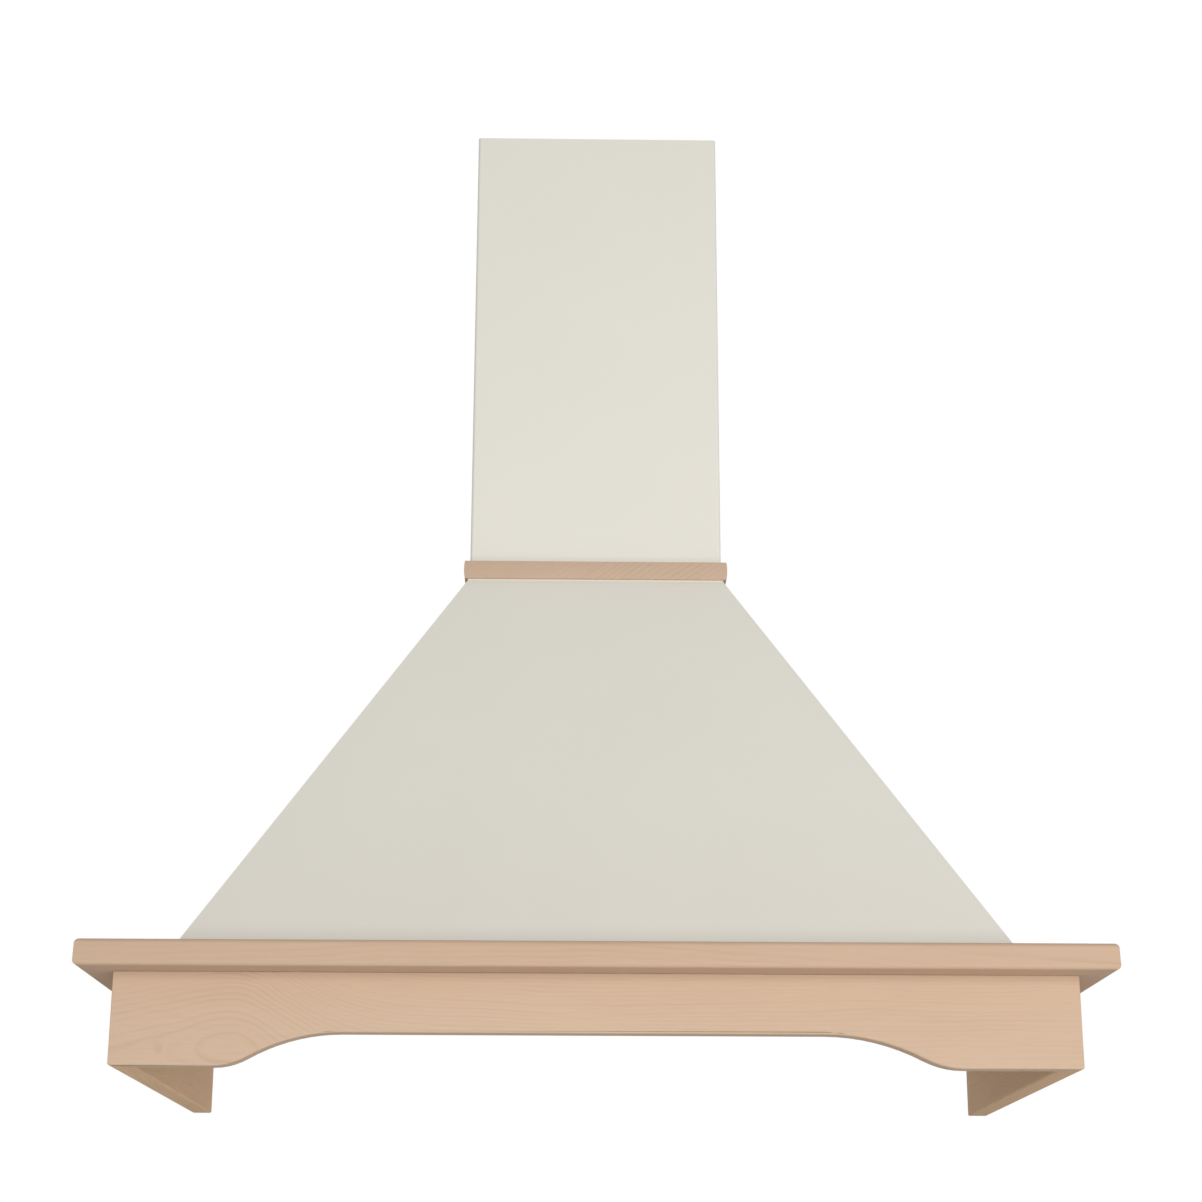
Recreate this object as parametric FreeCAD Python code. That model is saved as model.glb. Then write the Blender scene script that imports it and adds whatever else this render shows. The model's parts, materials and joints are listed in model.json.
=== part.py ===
import FreeCAD, Part
import math
import os

# Wall-mounted chimney cooker hood cover with a raw wood frame.
# Millimetres. X runs to the viewer's right, +Y runs into the wall, +Z is up.
# The wall is the plane y = 0. z = 0 is the height of the middle of the four wall screws.

os.makedirs("parts", exist_ok=True)
V = FreeCAD.Vector
X_AXIS, Y_AXIS, Z_AXIS = V(1, 0, 0), V(0, 1, 0), V(0, 0, 1)

# ---------------------------------------------------------------- driving dimensions

# wood frame
hood_width = 900.0
hood_depth = 520.0
cornice_thickness = 23.0
cornice_board_width = 110.0
nose_bottom_radius = 4.0
nose_top_radius = 4.6
nose_lean = 0.4
apron_height = 81.0
apron_thickness = 20.0
apron_side_setback = 28.5
apron_front_setback = 37.5
apron_edge_radius = 2.0
arch_rise = 29.0
# the hand-sawn arch is not quite the same at its two ends: distances from the middle
arch_left_flat_end = 222.0
arch_left_turn = 303.0
arch_left_foot = 332.0
arch_right_flat_end = 198.0
arch_right_turn = 284.0
arch_right_foot = 318.0
rail_depth = 40.0
rail_thickness = 20.0
dowel_diameter = 8.0
dowel_length = 40.0
spline_length = 60.0
spline_width = 24.0
spline_thickness = 4.0
batten_size = 18.0
batten_end_gap = 22.0
screw_bite = 12.0
joint_clearance = 0.1

# canopy and wall plate, painted sheet steel
canopy_height = 409.0
canopy_side_setback = 71.5
canopy_front_setback = 70.0
canopy_top_margin = 2.0
canopy_sheet = 1.0
canopy_flange = 20.0
canopy_screw_inset = 12.0
canopy_screw_reach = 16.0
hip_flange = 12.0
plate_sheet = 1.5
plate_flange = 15.0
plate_angle_leg = 10.0
wall_hole_diameter = 8.0
wall_screws_across = 300.0
wall_screws_up = 200.0
wall_screws_above_cornice = 60.0

# collar and chimney
collar_height = 20.0
collar_thickness = 6.0
collar_edge_thickness = 5.2
chimney_width = 257.0
chimney_depth = 252.0
chimney_above_collar = 485.0
chimney_sheet = 1.0
chimney_bend_radius = 3.0
chimney_back_flange = 15.0
inner_chimney_gap = 1.0
inner_chimney_sheet = 0.8
inner_chimney_top_drop = 1.0
bracket_height = 30.0
bracket_ear = 26.0
bracket_pad_gap = 3.5
bracket_hole_pitch = 160.0
bracket_hole_diameter = 6.0
bracket_above_plate = 1.5
bracket_top_drop = 8.0
collar_tab_width = 16.0
collar_tab_height = 13.4
collar_tab_foot = 10.0
collar_screw_height = 8.4
collar_screw_bite = 3.6

# bottom pan and grease filters
pan_recess = 16.0
pan_sheet = 1.0
pan_flange_gap = 4.5
pan_gap = 1.0
filter_side_margin = 29.0
front_strip_depth = 66.0
filter_thickness = 9.0
filter_rail = 12.0
filter_sheet = 1.2
filter_gap = 1.5
filter_rear_ledge = 8.0
filter_middle_web = 14.0
filter_tab_width = 20.0
filter_tab_length = 8.0
filter_tab_inset = 50.0
mesh_cell = 21.0
mesh_pitch = 24.0
latch_pocket_width = 64.0
latch_pocket_length = 28.0
latch_pocket_wall = 2.0
latch_ledge = 6.0
latch_side_gap = 0.5
latch_roof_gap = 0.8
latch_plate_length = 17.0
latch_plate_thickness = 3.0
latch_grip_width = 40.0
latch_grip_thickness = 3.0
latch_grip_drop = 4.0
latch_lip_thickness = 1.5
latch_nose_width = 20.0
latch_nose_thickness = 2.0
seat_gap = 0.3

# lamps, controls and lamp driver
lamp_radius = 24.5
lamp_rim_radius = 29.0
lamp_rim_thickness = 2.0
lamp_rim_edge = 0.9
lamp_height = 18.0
lamp_hole_gap = 0.5
lamp_cap = 2.0
lamp_lens_seat = 3.0
lamp_lens_recess = 0.5
lamp_lens_inset = 3.5
lamp_lens_thickness = 2.5
lamp_edge_distance = 89.0
control_from_lamp = 100.0
control_end_margin = 5.0
control_depth = 44.0
control_height = 24.0
control_wall = 2.0
control_floor = 2.5
control_hole_gap = 0.5
control_rim = 6.0
button_count = 5
button_pitch = 22.0
button_radius = 6.8
button_gap = 0.2
button_stand_out = 4.0
button_travel = 3.0
button_edge_radius = 1.0
button_flange_radius = 8.5
button_flange_thickness = 1.5
board_thickness = 1.6
board_height = 15.5
board_gap = 0.5
board_post_radius = 3.0
switch_height = 4.0
switch_size = 8.0
driver_length = 110.0
driver_depth = 38.0
driver_height = 25.0
box_edge_radius = 2.0
driver_from_lamp = 115.0

# blower
impeller_radius = 90.0
impeller_width = 100.0
blade_count = 32
blade_depth = 13.5
blade_sheet = 1.0
blade_lead = 7.0
blade_bow = 0.3
blade_end_inset = 0.3
ring_sheet = 1.5
hub_radius = 14.0
hub_length = 30.0
shaft_radius = 4.0
shaft_clearance = 0.05
hub_bore_gap = 0.02
shaft_end_gap = 1.0
scroll_tip_gap = 16.0
scroll_growth = 16.0
scroll_side_gap = 10.0
scroll_sheet = 1.5
outlet_depth = 130.0
blower_rear_gap = 45.0
blower_bottom_clearance = 35.0
inlet_inset = 4.5
inlet_lip = 14.0
motor_radius = 45.0
motor_length = 60.0
motor_edge_radius = 5.0
motor_end_wall = 5.0
motor_hole_radius = 12.0
motor_flange = 9.0
motor_flange_thickness = 2.5
neck_flange = 13.5
blower_bracket_width = 60.0
blower_bracket_height = 40.0
blower_bracket_screw_inset = 12.0

# duct outlet
spigot_radius = 60.0
spigot_sheet = 1.5
spigot_height = 63.0
spigot_flange = 12.0
duct_hole_inset = 2.0
seat_ring_width = 4.0
seat_ring_height = 18.0
flap_thickness = 1.0
flap_gap = 1.0
pin_radius = 1.5
sleeve_radius = 2.6
sleeve_gap = 2.0
sleeve_end_inset = 8.0
flap_edge = 3.0
flap_web_bite = 0.5
pin_end_gap = 0.2

# electrics
junction_width = 80.0
junction_depth = 40.0
junction_height = 60.0
junction_middle_x = -150.0
gland_from_chimney_side = 29.5
gland_from_wall = 60.0
gland_bore_radius = 4.2
gland_thread_radius = 8.0
gland_across_flats = 20.0
gland_hex_height = 6.0
gland_dome_radius = 8.6
gland_dome_height = 14.0
gland_dome_edge = 3.0
gland_below_plate = 10.0

# fasteners
wood_screw = {"head_radius": 4.0, "head": 2.0, "radius": 2.0}
sheet_screw = {"head_radius": 3.0, "head": 1.8, "radius": 1.5}
screw_hole_gap = 0.15
thin_screw_reach = 5.0
screw_stand_out = 1.0
screw_wall_gap = 0.2

# ---------------------------------------------------------------- derived levels and places

half_width = hood_width / 2
canopy_base_width = hood_width - 2 * canopy_side_setback
canopy_base_depth = hood_depth - canopy_front_setback
canopy_top_width = chimney_width + 2 * canopy_top_margin
canopy_top_depth = chimney_depth + canopy_top_margin
cornice_top_z = -(wall_screws_above_cornice + wall_screws_up / 2)
cornice_bottom_z = cornice_top_z - cornice_thickness
frame_bottom_z = cornice_bottom_z - apron_height
canopy_top_z = cornice_top_z + canopy_height
plate_top_z = canopy_top_z + plate_sheet
collar_top_z = canopy_top_z + collar_height
chimney_top_z = collar_top_z + chimney_above_collar

apron_x = half_width - apron_side_setback
apron_y = -(hood_depth - apron_front_setback)
inner_x = half_width - cornice_board_width
inner_front_y = -(hood_depth - cornice_board_width)

pan_x = inner_x - pan_gap
pan_front_y = inner_front_y + pan_gap
pan_rear_y = -rail_depth - pan_gap
pan_bottom_z = cornice_top_z - pan_recess
pan_floor_z = pan_bottom_z + pan_sheet

pan_flange_x = canopy_base_width / 2 - canopy_flange - pan_flange_gap
pan_flange_y = -canopy_base_depth + canopy_flange + pan_flange_gap

filter_hole_rear_y = pan_rear_y - pan_sheet - filter_rear_ledge
filter_hole_front_y = pan_front_y + pan_sheet + front_strip_depth
filter_width = pan_x - pan_sheet - filter_side_margin - filter_middle_web / 2 - 2 * filter_gap
filter_length = filter_hole_rear_y - filter_hole_front_y - 2 * filter_gap
filter_middle_x = filter_middle_web / 2 + filter_gap + filter_width / 2
strip_middle_y = pan_front_y + pan_sheet + front_strip_depth / 2
latch_plate_width = latch_pocket_width - 2 * (latch_pocket_wall + latch_side_gap)

lamp_x = pan_x - lamp_edge_distance
lamp_lens_radius = lamp_radius - lamp_lens_inset
control_length = button_count * button_pitch + 2 * control_end_margin
control_middle_x = lamp_x - control_from_lamp
driver_middle_x = -lamp_x + driver_from_lamp

scroll_start_radius = impeller_radius + scroll_tip_gap
scroll_width = impeller_width + 2 * scroll_side_gap
inlet_radius = impeller_radius - blade_depth - inlet_inset
motor_flange_radius = motor_radius + motor_flange
spigot_flange_radius = spigot_radius + spigot_flange
gland_x = -(chimney_width / 2 - chimney_sheet - gland_from_chimney_side)
gland_y = -gland_from_wall

outlet_y = -blower_rear_gap - scroll_sheet - outlet_depth / 2
fan_y = outlet_y + outlet_depth / 2 - scroll_start_radius - 2.5 * scroll_growth
fan_z = cornice_top_z + blower_bottom_clearance + scroll_start_radius + scroll_growth * 1.5


# ---------------------------------------------------------------- shape helpers

def block(x0, x1, y0, y1, z0, z1):
    return Part.makeBox(x1 - x0, y1 - y0, z1 - z0, V(x0, y0, z0))


def rod(start, axis, radius, length):
    return Part.makeCylinder(radius, length, start, axis)


def prism(points, along):
    return Part.Face(Part.makePolygon(points + [points[0]])).extrude(along)


def hexahedron(low, high):
    """Solid between two four-cornered faces whose corners are given in the same order."""
    faces = [Part.Face(Part.makePolygon(ring + [ring[0]])) for ring in (low, high)]
    for i in range(4):
        j = (i + 1) % 4
        ring = [low[i], low[j], high[j], high[i], low[i]]
        faces.append(Part.Face(Part.makePolygon(ring)))
    solid = Part.makeSolid(Part.makeShell(faces))
    if solid.Volume < 0:
        solid.reverse()
    return solid


def union(first, *others):
    return first.multiFuse(list(others)).removeSplitter()


def group(solids):
    return Part.makeCompound(list(solids))


def mirrored(shape):
    """The same piece on the other side of the middle plane x = 0."""
    return shape.mirror(V(0, 0, 0), X_AXIS)


def moved(shape, dx=0.0, dy=0.0, dz=0.0):
    copy = shape.copy()
    copy.translate(V(dx, dy, dz))
    return copy


def spread(start, end, count):
    """Evenly spaced places between two ends, half a step clear of each end."""
    return [start + (end - start) * (i + 0.5) / count for i in range(count)]


def edges_near(shape, test):
    """Edges whose middle point passes the test."""
    return [e for e in shape.Edges if test(e.valueAt((e.FirstParameter + e.LastParameter) / 2))]


def screw(kind, seat, direction, length):
    """Pan-head screw: the head lies on the seat, the shank runs along the direction."""
    head = rod(seat, direction * -1, kind["head_radius"], kind["head"])
    shank = rod(seat, direction, kind["radius"], length)
    return head.fuse(shank).removeSplitter()


def screw_hole(kind, seat, direction, length):
    start = seat - direction * joint_clearance
    return rod(start, direction, kind["radius"] + screw_hole_gap, length + 2 * joint_clearance)


class ScrewSet:
    """Identical screws that share one node, and the holes that they need."""

    def __init__(self, kind):
        self.kind = kind
        self.screws = []
        self.holes = []

    def add(self, seat, direction, length):
        self.screws.append(screw(self.kind, seat, direction, length))
        self.holes.append(screw_hole(self.kind, seat, direction, length))

    def drill(self, shape):
        box = shape.BoundBox
        near = [h for h in self.holes if box.intersect(h.BoundBox)]
        return shape.cut(near) if near else shape


parts = {}

# ---------------------------------------------------------------- wood frame


def nose_profile(width, place):
    """Cross-section of the cornice: rounded nose at u = 0, straight back at u = width.
    place turns (u, v) into a point, with v up from the board's underside."""
    low, top = nose_bottom_radius, nose_top_radius
    t = cornice_thickness
    bow = 1 - math.sqrt(0.5)
    lower_arc = Part.Arc(place(low, 0), place(low * bow, low * bow), place(0, low))
    upper_arc = Part.Arc(place(nose_lean, t - top), place(nose_lean + top * bow, t - top * bow),
                         place(nose_lean + top, t))
    straight = [(place(0, low), place(nose_lean, t - top)),
                (place(nose_lean + top, t), place(width, t)),
                (place(width, t), place(width, 0)),
                (place(width, 0), place(low, 0))]
    edges = [lower_arc.toShape(), upper_arc.toShape()] + [Part.makeLine(a, b) for a, b in straight]
    return Part.Face(Part.Wire(Part.__sortEdges__(edges)))


def plan(points, z0, z1):
    return prism([V(x, y, z0) for x, y in points], V(0, 0, z1 - z0))


def cornice_front():
    face = nose_profile(cornice_board_width,
                        lambda u, v: V(-half_width, -hood_depth + u, cornice_bottom_z + v))
    bar = face.extrude(V(hood_width, 0, 0))
    mitred = plan([(-half_width, -hood_depth), (half_width, -hood_depth),
                   (inner_x, inner_front_y), (-inner_x, inner_front_y)],
                  cornice_bottom_z, cornice_top_z)
    return bar.common(mitred)


def cornice_side():
    face = nose_profile(cornice_board_width,
                        lambda u, v: V(-half_width + u, -hood_depth, cornice_bottom_z + v))
    bar = face.extrude(V(0, hood_depth, 0))
    mitred = plan([(-half_width, -hood_depth), (-inner_x, inner_front_y),
                   (-inner_x, 0), (-half_width, 0)], cornice_bottom_z, cornice_top_z)
    return bar.common(mitred)


def mitre_spline(grow=0.0):
    """Thin tongue set across the left mitre of the cornice."""
    half_l, half_w, half_t = (spline_length / 2 + grow, spline_width / 2 + grow,
                              spline_thickness / 2 + grow)
    tongue = block(-half_l, half_l, -half_w, half_w, -half_t, half_t)
    tongue.rotate(V(0, 0, 0), Z_AXIS, 45)
    middle_x = -(half_width + inner_x) / 2
    middle_y = (inner_front_y - hood_depth) / 2
    return moved(tongue, middle_x, middle_y, cornice_bottom_z + cornice_thickness / 2)


def apron_outline(y):
    """Front apron seen from the front, with the arch cut as two S-shaped ends."""
    flat_z = frame_bottom_z + arch_rise

    def ogee(sign, flat_end, turn, foot):
        # two arcs that meet at the turn with one slope and end level
        reach = foot - flat_end
        radii = (reach ** 2 + arch_rise ** 2) / (2 * arch_rise)
        angle = math.asin(reach / radii)
        upper = (turn - flat_end) / math.sin(angle)
        lower = radii - upper
        half = angle / 2

        def on_upper(a):
            return V(sign * (flat_end + upper * math.sin(a)), y,
                     flat_z - upper * (1 - math.cos(a)))

        def on_lower(a):
            return V(sign * (foot - lower * math.sin(a)), y,
                     frame_bottom_z + lower * (1 - math.cos(a)))

        return [Part.Arc(on_upper(0), on_upper(half), on_upper(angle)).toShape(),
                Part.Arc(on_lower(angle), on_lower(half), on_lower(0)).toShape()]

    corners = [V(-arch_left_foot, y, frame_bottom_z), V(-apron_x, y, frame_bottom_z),
               V(-apron_x, y, cornice_bottom_z), V(apron_x, y, cornice_bottom_z),
               V(apron_x, y, frame_bottom_z), V(arch_right_foot, y, frame_bottom_z)]
    edges = [Part.makeLine(a, b) for a, b in zip(corners, corners[1:])]
    edges.append(Part.makeLine(V(-arch_left_flat_end, y, flat_z), V(arch_right_flat_end, y, flat_z)))
    edges += ogee(-1, arch_left_flat_end, arch_left_turn, arch_left_foot)
    edges += ogee(1, arch_right_flat_end, arch_right_turn, arch_right_foot)
    return Part.Face(Part.Wire(Part.__sortEdges__(edges)))


def apron_front():
    board = apron_outline(apron_y).extrude(V(0, apron_thickness, 0))
    low_edges = edges_near(board, lambda p: p.z < frame_bottom_z + arch_rise + 0.5
                           and (abs(p.y - apron_y) < 0.01
                                or abs(p.y - apron_y - apron_thickness) < 0.01))
    board = board.makeFillet(apron_edge_radius, low_edges)
    rear_y = apron_y + apron_thickness
    mitred = plan([(-apron_x, apron_y), (apron_x, apron_y),
                   (apron_x - apron_thickness, rear_y), (-apron_x + apron_thickness, rear_y)],
                  frame_bottom_z, cornice_bottom_z)
    return board.common(mitred)


def apron_side():
    board = block(-apron_x, -apron_x + apron_thickness, apron_y, 0, frame_bottom_z, cornice_bottom_z)
    low_edges = edges_near(board, lambda p: p.z < frame_bottom_z + 0.5 and p.y > apron_y + 1)
    board = board.makeFillet(apron_edge_radius, low_edges)
    mitred = plan([(-apron_x, apron_y), (-apron_x + apron_thickness, apron_y + apron_thickness),
                   (-apron_x + apron_thickness, 0), (-apron_x, 0)],
                  frame_bottom_z, cornice_bottom_z)
    return board.common(mitred)


def batten_front():
    return block(-batten_half_length, batten_half_length, inside_apron_y, inside_apron_y + batten_size,
                 batten_low_z, cornice_bottom_z)


def batten_side():
    return block(-inside_apron_x, -inside_apron_x + batten_size, inside_apron_y + batten_end_gap,
                 -batten_end_gap, batten_low_z, cornice_bottom_z)


def rear_rail():
    return block(-inner_x, inner_x, -rail_depth, 0, cornice_top_z - rail_thickness, cornice_top_z)


def rail_dowels(grow=0.0):
    """Two dowels at each end of the rear rail, half in the rail and half in the side cornice."""
    z = cornice_top_z - rail_thickness / 2
    pins = []
    for end in (-inner_x, inner_x):
        for share in (0.25, 0.75):
            start = V(end - dowel_length / 2 - grow, -rail_depth * share, z)
            pins.append(rod(start, X_AXIS, dowel_diameter / 2 + grow, dowel_length + 2 * grow))
    return pins


batten_screws = ScrewSet(wood_screw)
batten_screw_reach = batten_size + screw_bite
batten_low_z = cornice_bottom_z - batten_size
batten_middle_z = cornice_bottom_z - batten_size / 2
inside_apron_x = apron_x - apron_thickness
inside_apron_y = apron_y + apron_thickness
batten_half_length = inside_apron_x - batten_end_gap
for x in spread(-batten_half_length, batten_half_length, 4):
    batten_screws.add(V(x, inside_apron_y + batten_size / 2, batten_low_z), Z_AXIS, batten_screw_reach)
    batten_screws.add(V(x + 2 * batten_size, inside_apron_y + batten_size, batten_middle_z),
                      Y_AXIS * -1, batten_screw_reach)
for y in spread(inside_apron_y + batten_end_gap, -batten_end_gap, 3):
    for sign in (-1, 1):
        batten_screws.add(V(sign * (inside_apron_x - batten_size / 2), y, batten_low_z),
                          Z_AXIS, batten_screw_reach)
        batten_screws.add(V(sign * (inside_apron_x - batten_size), y - 2 * batten_size, batten_middle_z),
                          X_AXIS * sign, batten_screw_reach)

# screws that hold the canopy, the bottom pan and the wall plate down on the cornice and rail
canopy_screws = ScrewSet(wood_screw)


def screw_down(x, y, sheet):
    canopy_screws.add(V(x, y, cornice_top_z + sheet), Z_AXIS * -1, canopy_screw_reach)


for x in spread(-canopy_base_width / 2, canopy_base_width / 2, 4):
    screw_down(x, -canopy_base_depth + canopy_screw_inset, canopy_sheet)
for sign in (-1, 1):
    for y in spread(-canopy_base_depth, 0, 3):
        screw_down(sign * (canopy_base_width / 2 - canopy_screw_inset), y, canopy_sheet)
    for y in spread(pan_front_y, pan_rear_y, 2):
        screw_down(sign * (pan_x + pan_flange_x) / 2, y, pan_sheet)
for x in spread(-pan_x, pan_x, 3):
    screw_down(x, (pan_front_y + pan_flange_y) / 2, pan_sheet)
    screw_down(x, -rail_depth / 4, plate_sheet)


def build_frame():
    front = cornice_front()
    left = cornice_side()
    splines = [mitre_spline(), mirrored(mitre_spline())]
    pockets = [mitre_spline(joint_clearance), mirrored(mitre_spline(joint_clearance))]
    dowel_holes = rail_dowels(joint_clearance)
    boards = {"cornice_front": front, "cornice_left": left, "cornice_right": mirrored(left)}
    for name, board in boards.items():
        board = board.cut(pockets + dowel_holes)
        parts[name] = canopy_screws.drill(batten_screws.drill(board))
    parts["mitre_splines"] = group(splines)
    parts["rear_rail"] = canopy_screws.drill(rear_rail().cut(dowel_holes))
    parts["rail_dowels"] = group(rail_dowels())
    side = apron_side()
    aprons = {"apron_front": apron_front(), "apron_left": side, "apron_right": mirrored(side)}
    for name, board in aprons.items():
        parts[name] = batten_screws.drill(board)
    battens = [batten_front(), batten_side(), mirrored(batten_side())]
    parts["battens"] = group(batten_screws.drill(b) for b in battens)
    parts["batten_screws"] = group(batten_screws.screws)


# ---------------------------------------------------------------- canopy and wall plate

side_slope = (canopy_base_width - canopy_top_width) / 2 / canopy_height
front_slope = (canopy_base_depth - canopy_top_depth) / canopy_height
side_stretch = math.hypot(1, side_slope)
front_stretch = math.hypot(1, front_slope)


def side_x(z, depth):
    """Half width of the canopy at height z, that deep under its painted face."""
    return canopy_base_width / 2 - (z - cornice_top_z) * side_slope - depth * side_stretch


def front_y(z, depth):
    """Front of the canopy at height z, that deep under its painted face."""
    return -canopy_base_depth + (z - cornice_top_z) * front_slope + depth * front_stretch


def sloped_front(depth0, depth1, z0, z1, edge_x):
    """Sheet in the slope of the front between two depths. edge_x(z, depth) is its half width."""
    rings = []
    for z in (z0, z1):
        rings.append([V(-edge_x(z, depth0), front_y(z, depth0), z),
                      V(edge_x(z, depth0), front_y(z, depth0), z),
                      V(edge_x(z, depth1), front_y(z, depth1), z),
                      V(-edge_x(z, depth1), front_y(z, depth1), z)])
    return hexahedron(rings[0], rings[1])


def sloped_left(depth0, depth1, z0, z1, edge_y, rear_y):
    """Sheet in the slope of the left side. edge_y(z, depth) is where it starts at the front."""
    rings = []
    for z in (z0, z1):
        rings.append([V(-side_x(z, depth0), edge_y(z, depth0), z),
                      V(-side_x(z, depth0), rear_y, z),
                      V(-side_x(z, depth1), rear_y, z),
                      V(-side_x(z, depth1), edge_y(z, depth1), z)])
    return hexahedron(rings[0], rings[1])


def canopy_front():
    panel = sloped_front(0, canopy_sheet, cornice_top_z, canopy_top_z, side_x)
    half, deep, lip = canopy_base_width / 2, canopy_base_depth, canopy_flange
    flange = plan([(-half, -deep), (half, -deep), (half - lip, -deep + lip), (-half + lip, -deep + lip)],
                  cornice_top_z, cornice_top_z + canopy_sheet)
    inside = flange.cut(front_trim())
    return union(panel, inside)


def front_trim():
    """Everything in front of the canopy's front slope, near its foot."""
    z0, z1 = cornice_top_z, cornice_top_z + canopy_sheet
    far = canopy_base_depth + canopy_flange
    half = canopy_base_width / 2
    low = [V(-half, -far, z0), V(half, -far, z0), V(half, front_y(z0, 0), z0), V(-half, front_y(z0, 0), z0)]
    high = [V(-half, -far, z1), V(half, -far, z1), V(half, front_y(z1, 0), z1), V(-half, front_y(z1, 0), z1)]
    return hexahedron(low, high)


def side_trim():
    """Everything outside the canopy's left slope, near its foot."""
    z0, z1 = cornice_top_z, cornice_top_z + canopy_sheet
    far = canopy_base_width / 2 + canopy_flange
    deep = canopy_base_depth
    low = [V(-far, -deep, z0), V(-far, 0, z0), V(-side_x(z0, 0), 0, z0), V(-side_x(z0, 0), -deep, z0)]
    high = [V(-far, -deep, z1), V(-far, 0, z1), V(-side_x(z1, 0), 0, z1), V(-side_x(z1, 0), -deep, z1)]
    return hexahedron(low, high)


def canopy_left():
    panel = sloped_left(0, canopy_sheet, cornice_top_z, canopy_top_z, front_y, 0)
    half, deep, lip = canopy_base_width / 2, canopy_base_depth, canopy_flange
    flange = plan([(-half, -deep), (-half + lip, -deep + lip), (-half + lip, 0), (-half, 0)],
                  cornice_top_z, cornice_top_z + canopy_sheet).cut(side_trim())
    # narrow strip folded behind the front panel, to which it is spot welded
    t = canopy_sheet
    rings = []
    for z in (cornice_top_z + t, canopy_top_z):
        x = -side_x(z, t)
        rings.append([V(x, front_y(z, t), z), V(x + hip_flange, front_y(z, t), z),
                      V(x + hip_flange, front_y(z, 2 * t), z), V(x, front_y(z, 2 * t), z)])
    return union(panel, flange, hexahedron(rings[0], rings[1]))


def wall_plate():
    """Trapezoid against the wall that closes the back of the canopy and carries the hood."""
    t = canopy_sheet
    z0, z1 = cornice_top_z, canopy_top_z
    outline = [V(-side_x(z0, t), -plate_sheet, z0), V(side_x(z0, t), -plate_sheet, z0),
               V(side_x(z1, t), -plate_sheet, z1), V(-side_x(z1, t), -plate_sheet, z1)]
    plate = prism(outline, V(0, plate_sheet, 0))
    foot_x = canopy_base_width / 2 - canopy_flange
    side_foot = block(-half_width, -foot_x, -hood_depth, hood_depth, z0 - 1, z0 + canopy_sheet)
    plate = plate.cut([side_foot, mirrored(side_foot)])
    foot = block(-foot_x, foot_x, -rail_depth / 2, 0, z0, z0 + plate_sheet)
    flange = sloped_left(t, t + plate_sheet, z0 + canopy_sheet, z1 - plate_sheet,
                         lambda z, depth: -plate_flange - plate_sheet, -plate_sheet)
    body = union(plate, foot, flange, mirrored(flange))
    holes = []
    for x in (-wall_screws_across / 2, wall_screws_across / 2):
        for z in (-wall_screws_up / 2, wall_screws_up / 2):
            holes.append(rod(V(x, -plate_sheet - 1, z), Y_AXIS, wall_hole_diameter / 2, plate_sheet + 2))
    return body.cut(holes)


def canopy_top():
    """Top plate: closes the canopy, carries the blower below and the spigot and chimney above."""
    half, deep = canopy_top_width / 2, canopy_top_depth
    return block(-half, half, -deep, 0, canopy_top_z, plate_top_z)


def plate_angles():
    """Folded angles spot welded under the top plate. Each takes the slope of the panel beside it."""
    t = canopy_sheet
    half, deep = canopy_top_width / 2, canopy_top_depth
    low, leg_z = canopy_top_z - plate_flange, canopy_top_z - plate_sheet
    inset = 2 * plate_flange
    front = sloped_front(2 * t, 2 * t + plate_sheet, low, canopy_top_z,
                         lambda z, depth: half - inset)
    front_leg_y = front_y(canopy_top_z, 2 * t)
    front_leg = block(-half + inset, half - inset, front_leg_y, front_leg_y + plate_angle_leg,
                      leg_z, canopy_top_z)
    left = sloped_left(t, t + plate_sheet, low, canopy_top_z,
                       lambda z, depth: -deep + inset, -inset)
    left_leg_x = -side_x(canopy_top_z, t)
    left_leg = block(left_leg_x, left_leg_x + plate_angle_leg, -deep + inset, -inset,
                     leg_z, canopy_top_z)
    left = union(left, left_leg)
    return [union(front, front_leg), left, mirrored(left)]


# the collar's screws run from inside the chimney through a tab, the sheet and into the wood
inside_chimney_x = chimney_width / 2 - chimney_sheet
inside_chimney_y = -chimney_depth + chimney_sheet
collar_screw_z = plate_top_z + collar_screw_height
collar_side_y = spread(-chimney_depth, 0, 2)
collar_front_x = spread(-chimney_width / 2, chimney_width / 2, 2)
collar_screws = ScrewSet(sheet_screw)
collar_screw_reach = plate_sheet + chimney_sheet + collar_screw_bite
for sign in (-1, 1):
    for y in collar_side_y:
        collar_screws.add(V(sign * (inside_chimney_x - plate_sheet), y, collar_screw_z),
                          X_AXIS * sign, collar_screw_reach)
for x in collar_front_x:
    collar_screws.add(V(x, inside_chimney_y + plate_sheet, collar_screw_z),
                      Y_AXIS * -1, collar_screw_reach)


def collar_tabs():
    """Small angles spot welded on the top plate inside the foot of the chimney."""
    half, foot, s = collar_tab_width / 2, collar_tab_foot, plate_sheet
    z0, z1 = plate_top_z, plate_top_z + collar_tab_height
    tabs = []
    for y in collar_side_y:
        x = -inside_chimney_x
        tab = union(block(x, x + s, y - half, y + half, z0, z1),
                    block(x, x + foot, y - half, y + half, z0, z0 + s))
        tabs += [tab, mirrored(tab)]
    for x in collar_front_x:
        y = inside_chimney_y
        tabs.append(union(block(x - half, x + half, y, y + s, z0, z1),
                          block(x - half, x + half, y, y + foot, z0, z0 + s)))
    return tabs


# ---------------------------------------------------------------- collar and chimney


def collar_profile(place):
    """Cross-section of the collar: flat back at u = 0, bowed face."""
    h = collar_top_z - plate_top_z
    arc = Part.Arc(place(collar_edge_thickness, h), place(collar_thickness, h / 2),
                   place(collar_edge_thickness, 0))
    lines = [(place(0, 0), place(0, h)), (place(0, h), place(collar_edge_thickness, h)),
             (place(collar_edge_thickness, 0), place(0, 0))]
    edges = [arc.toShape()] + [Part.makeLine(a, b) for a, b in lines]
    return Part.Face(Part.Wire(Part.__sortEdges__(edges)))


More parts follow.
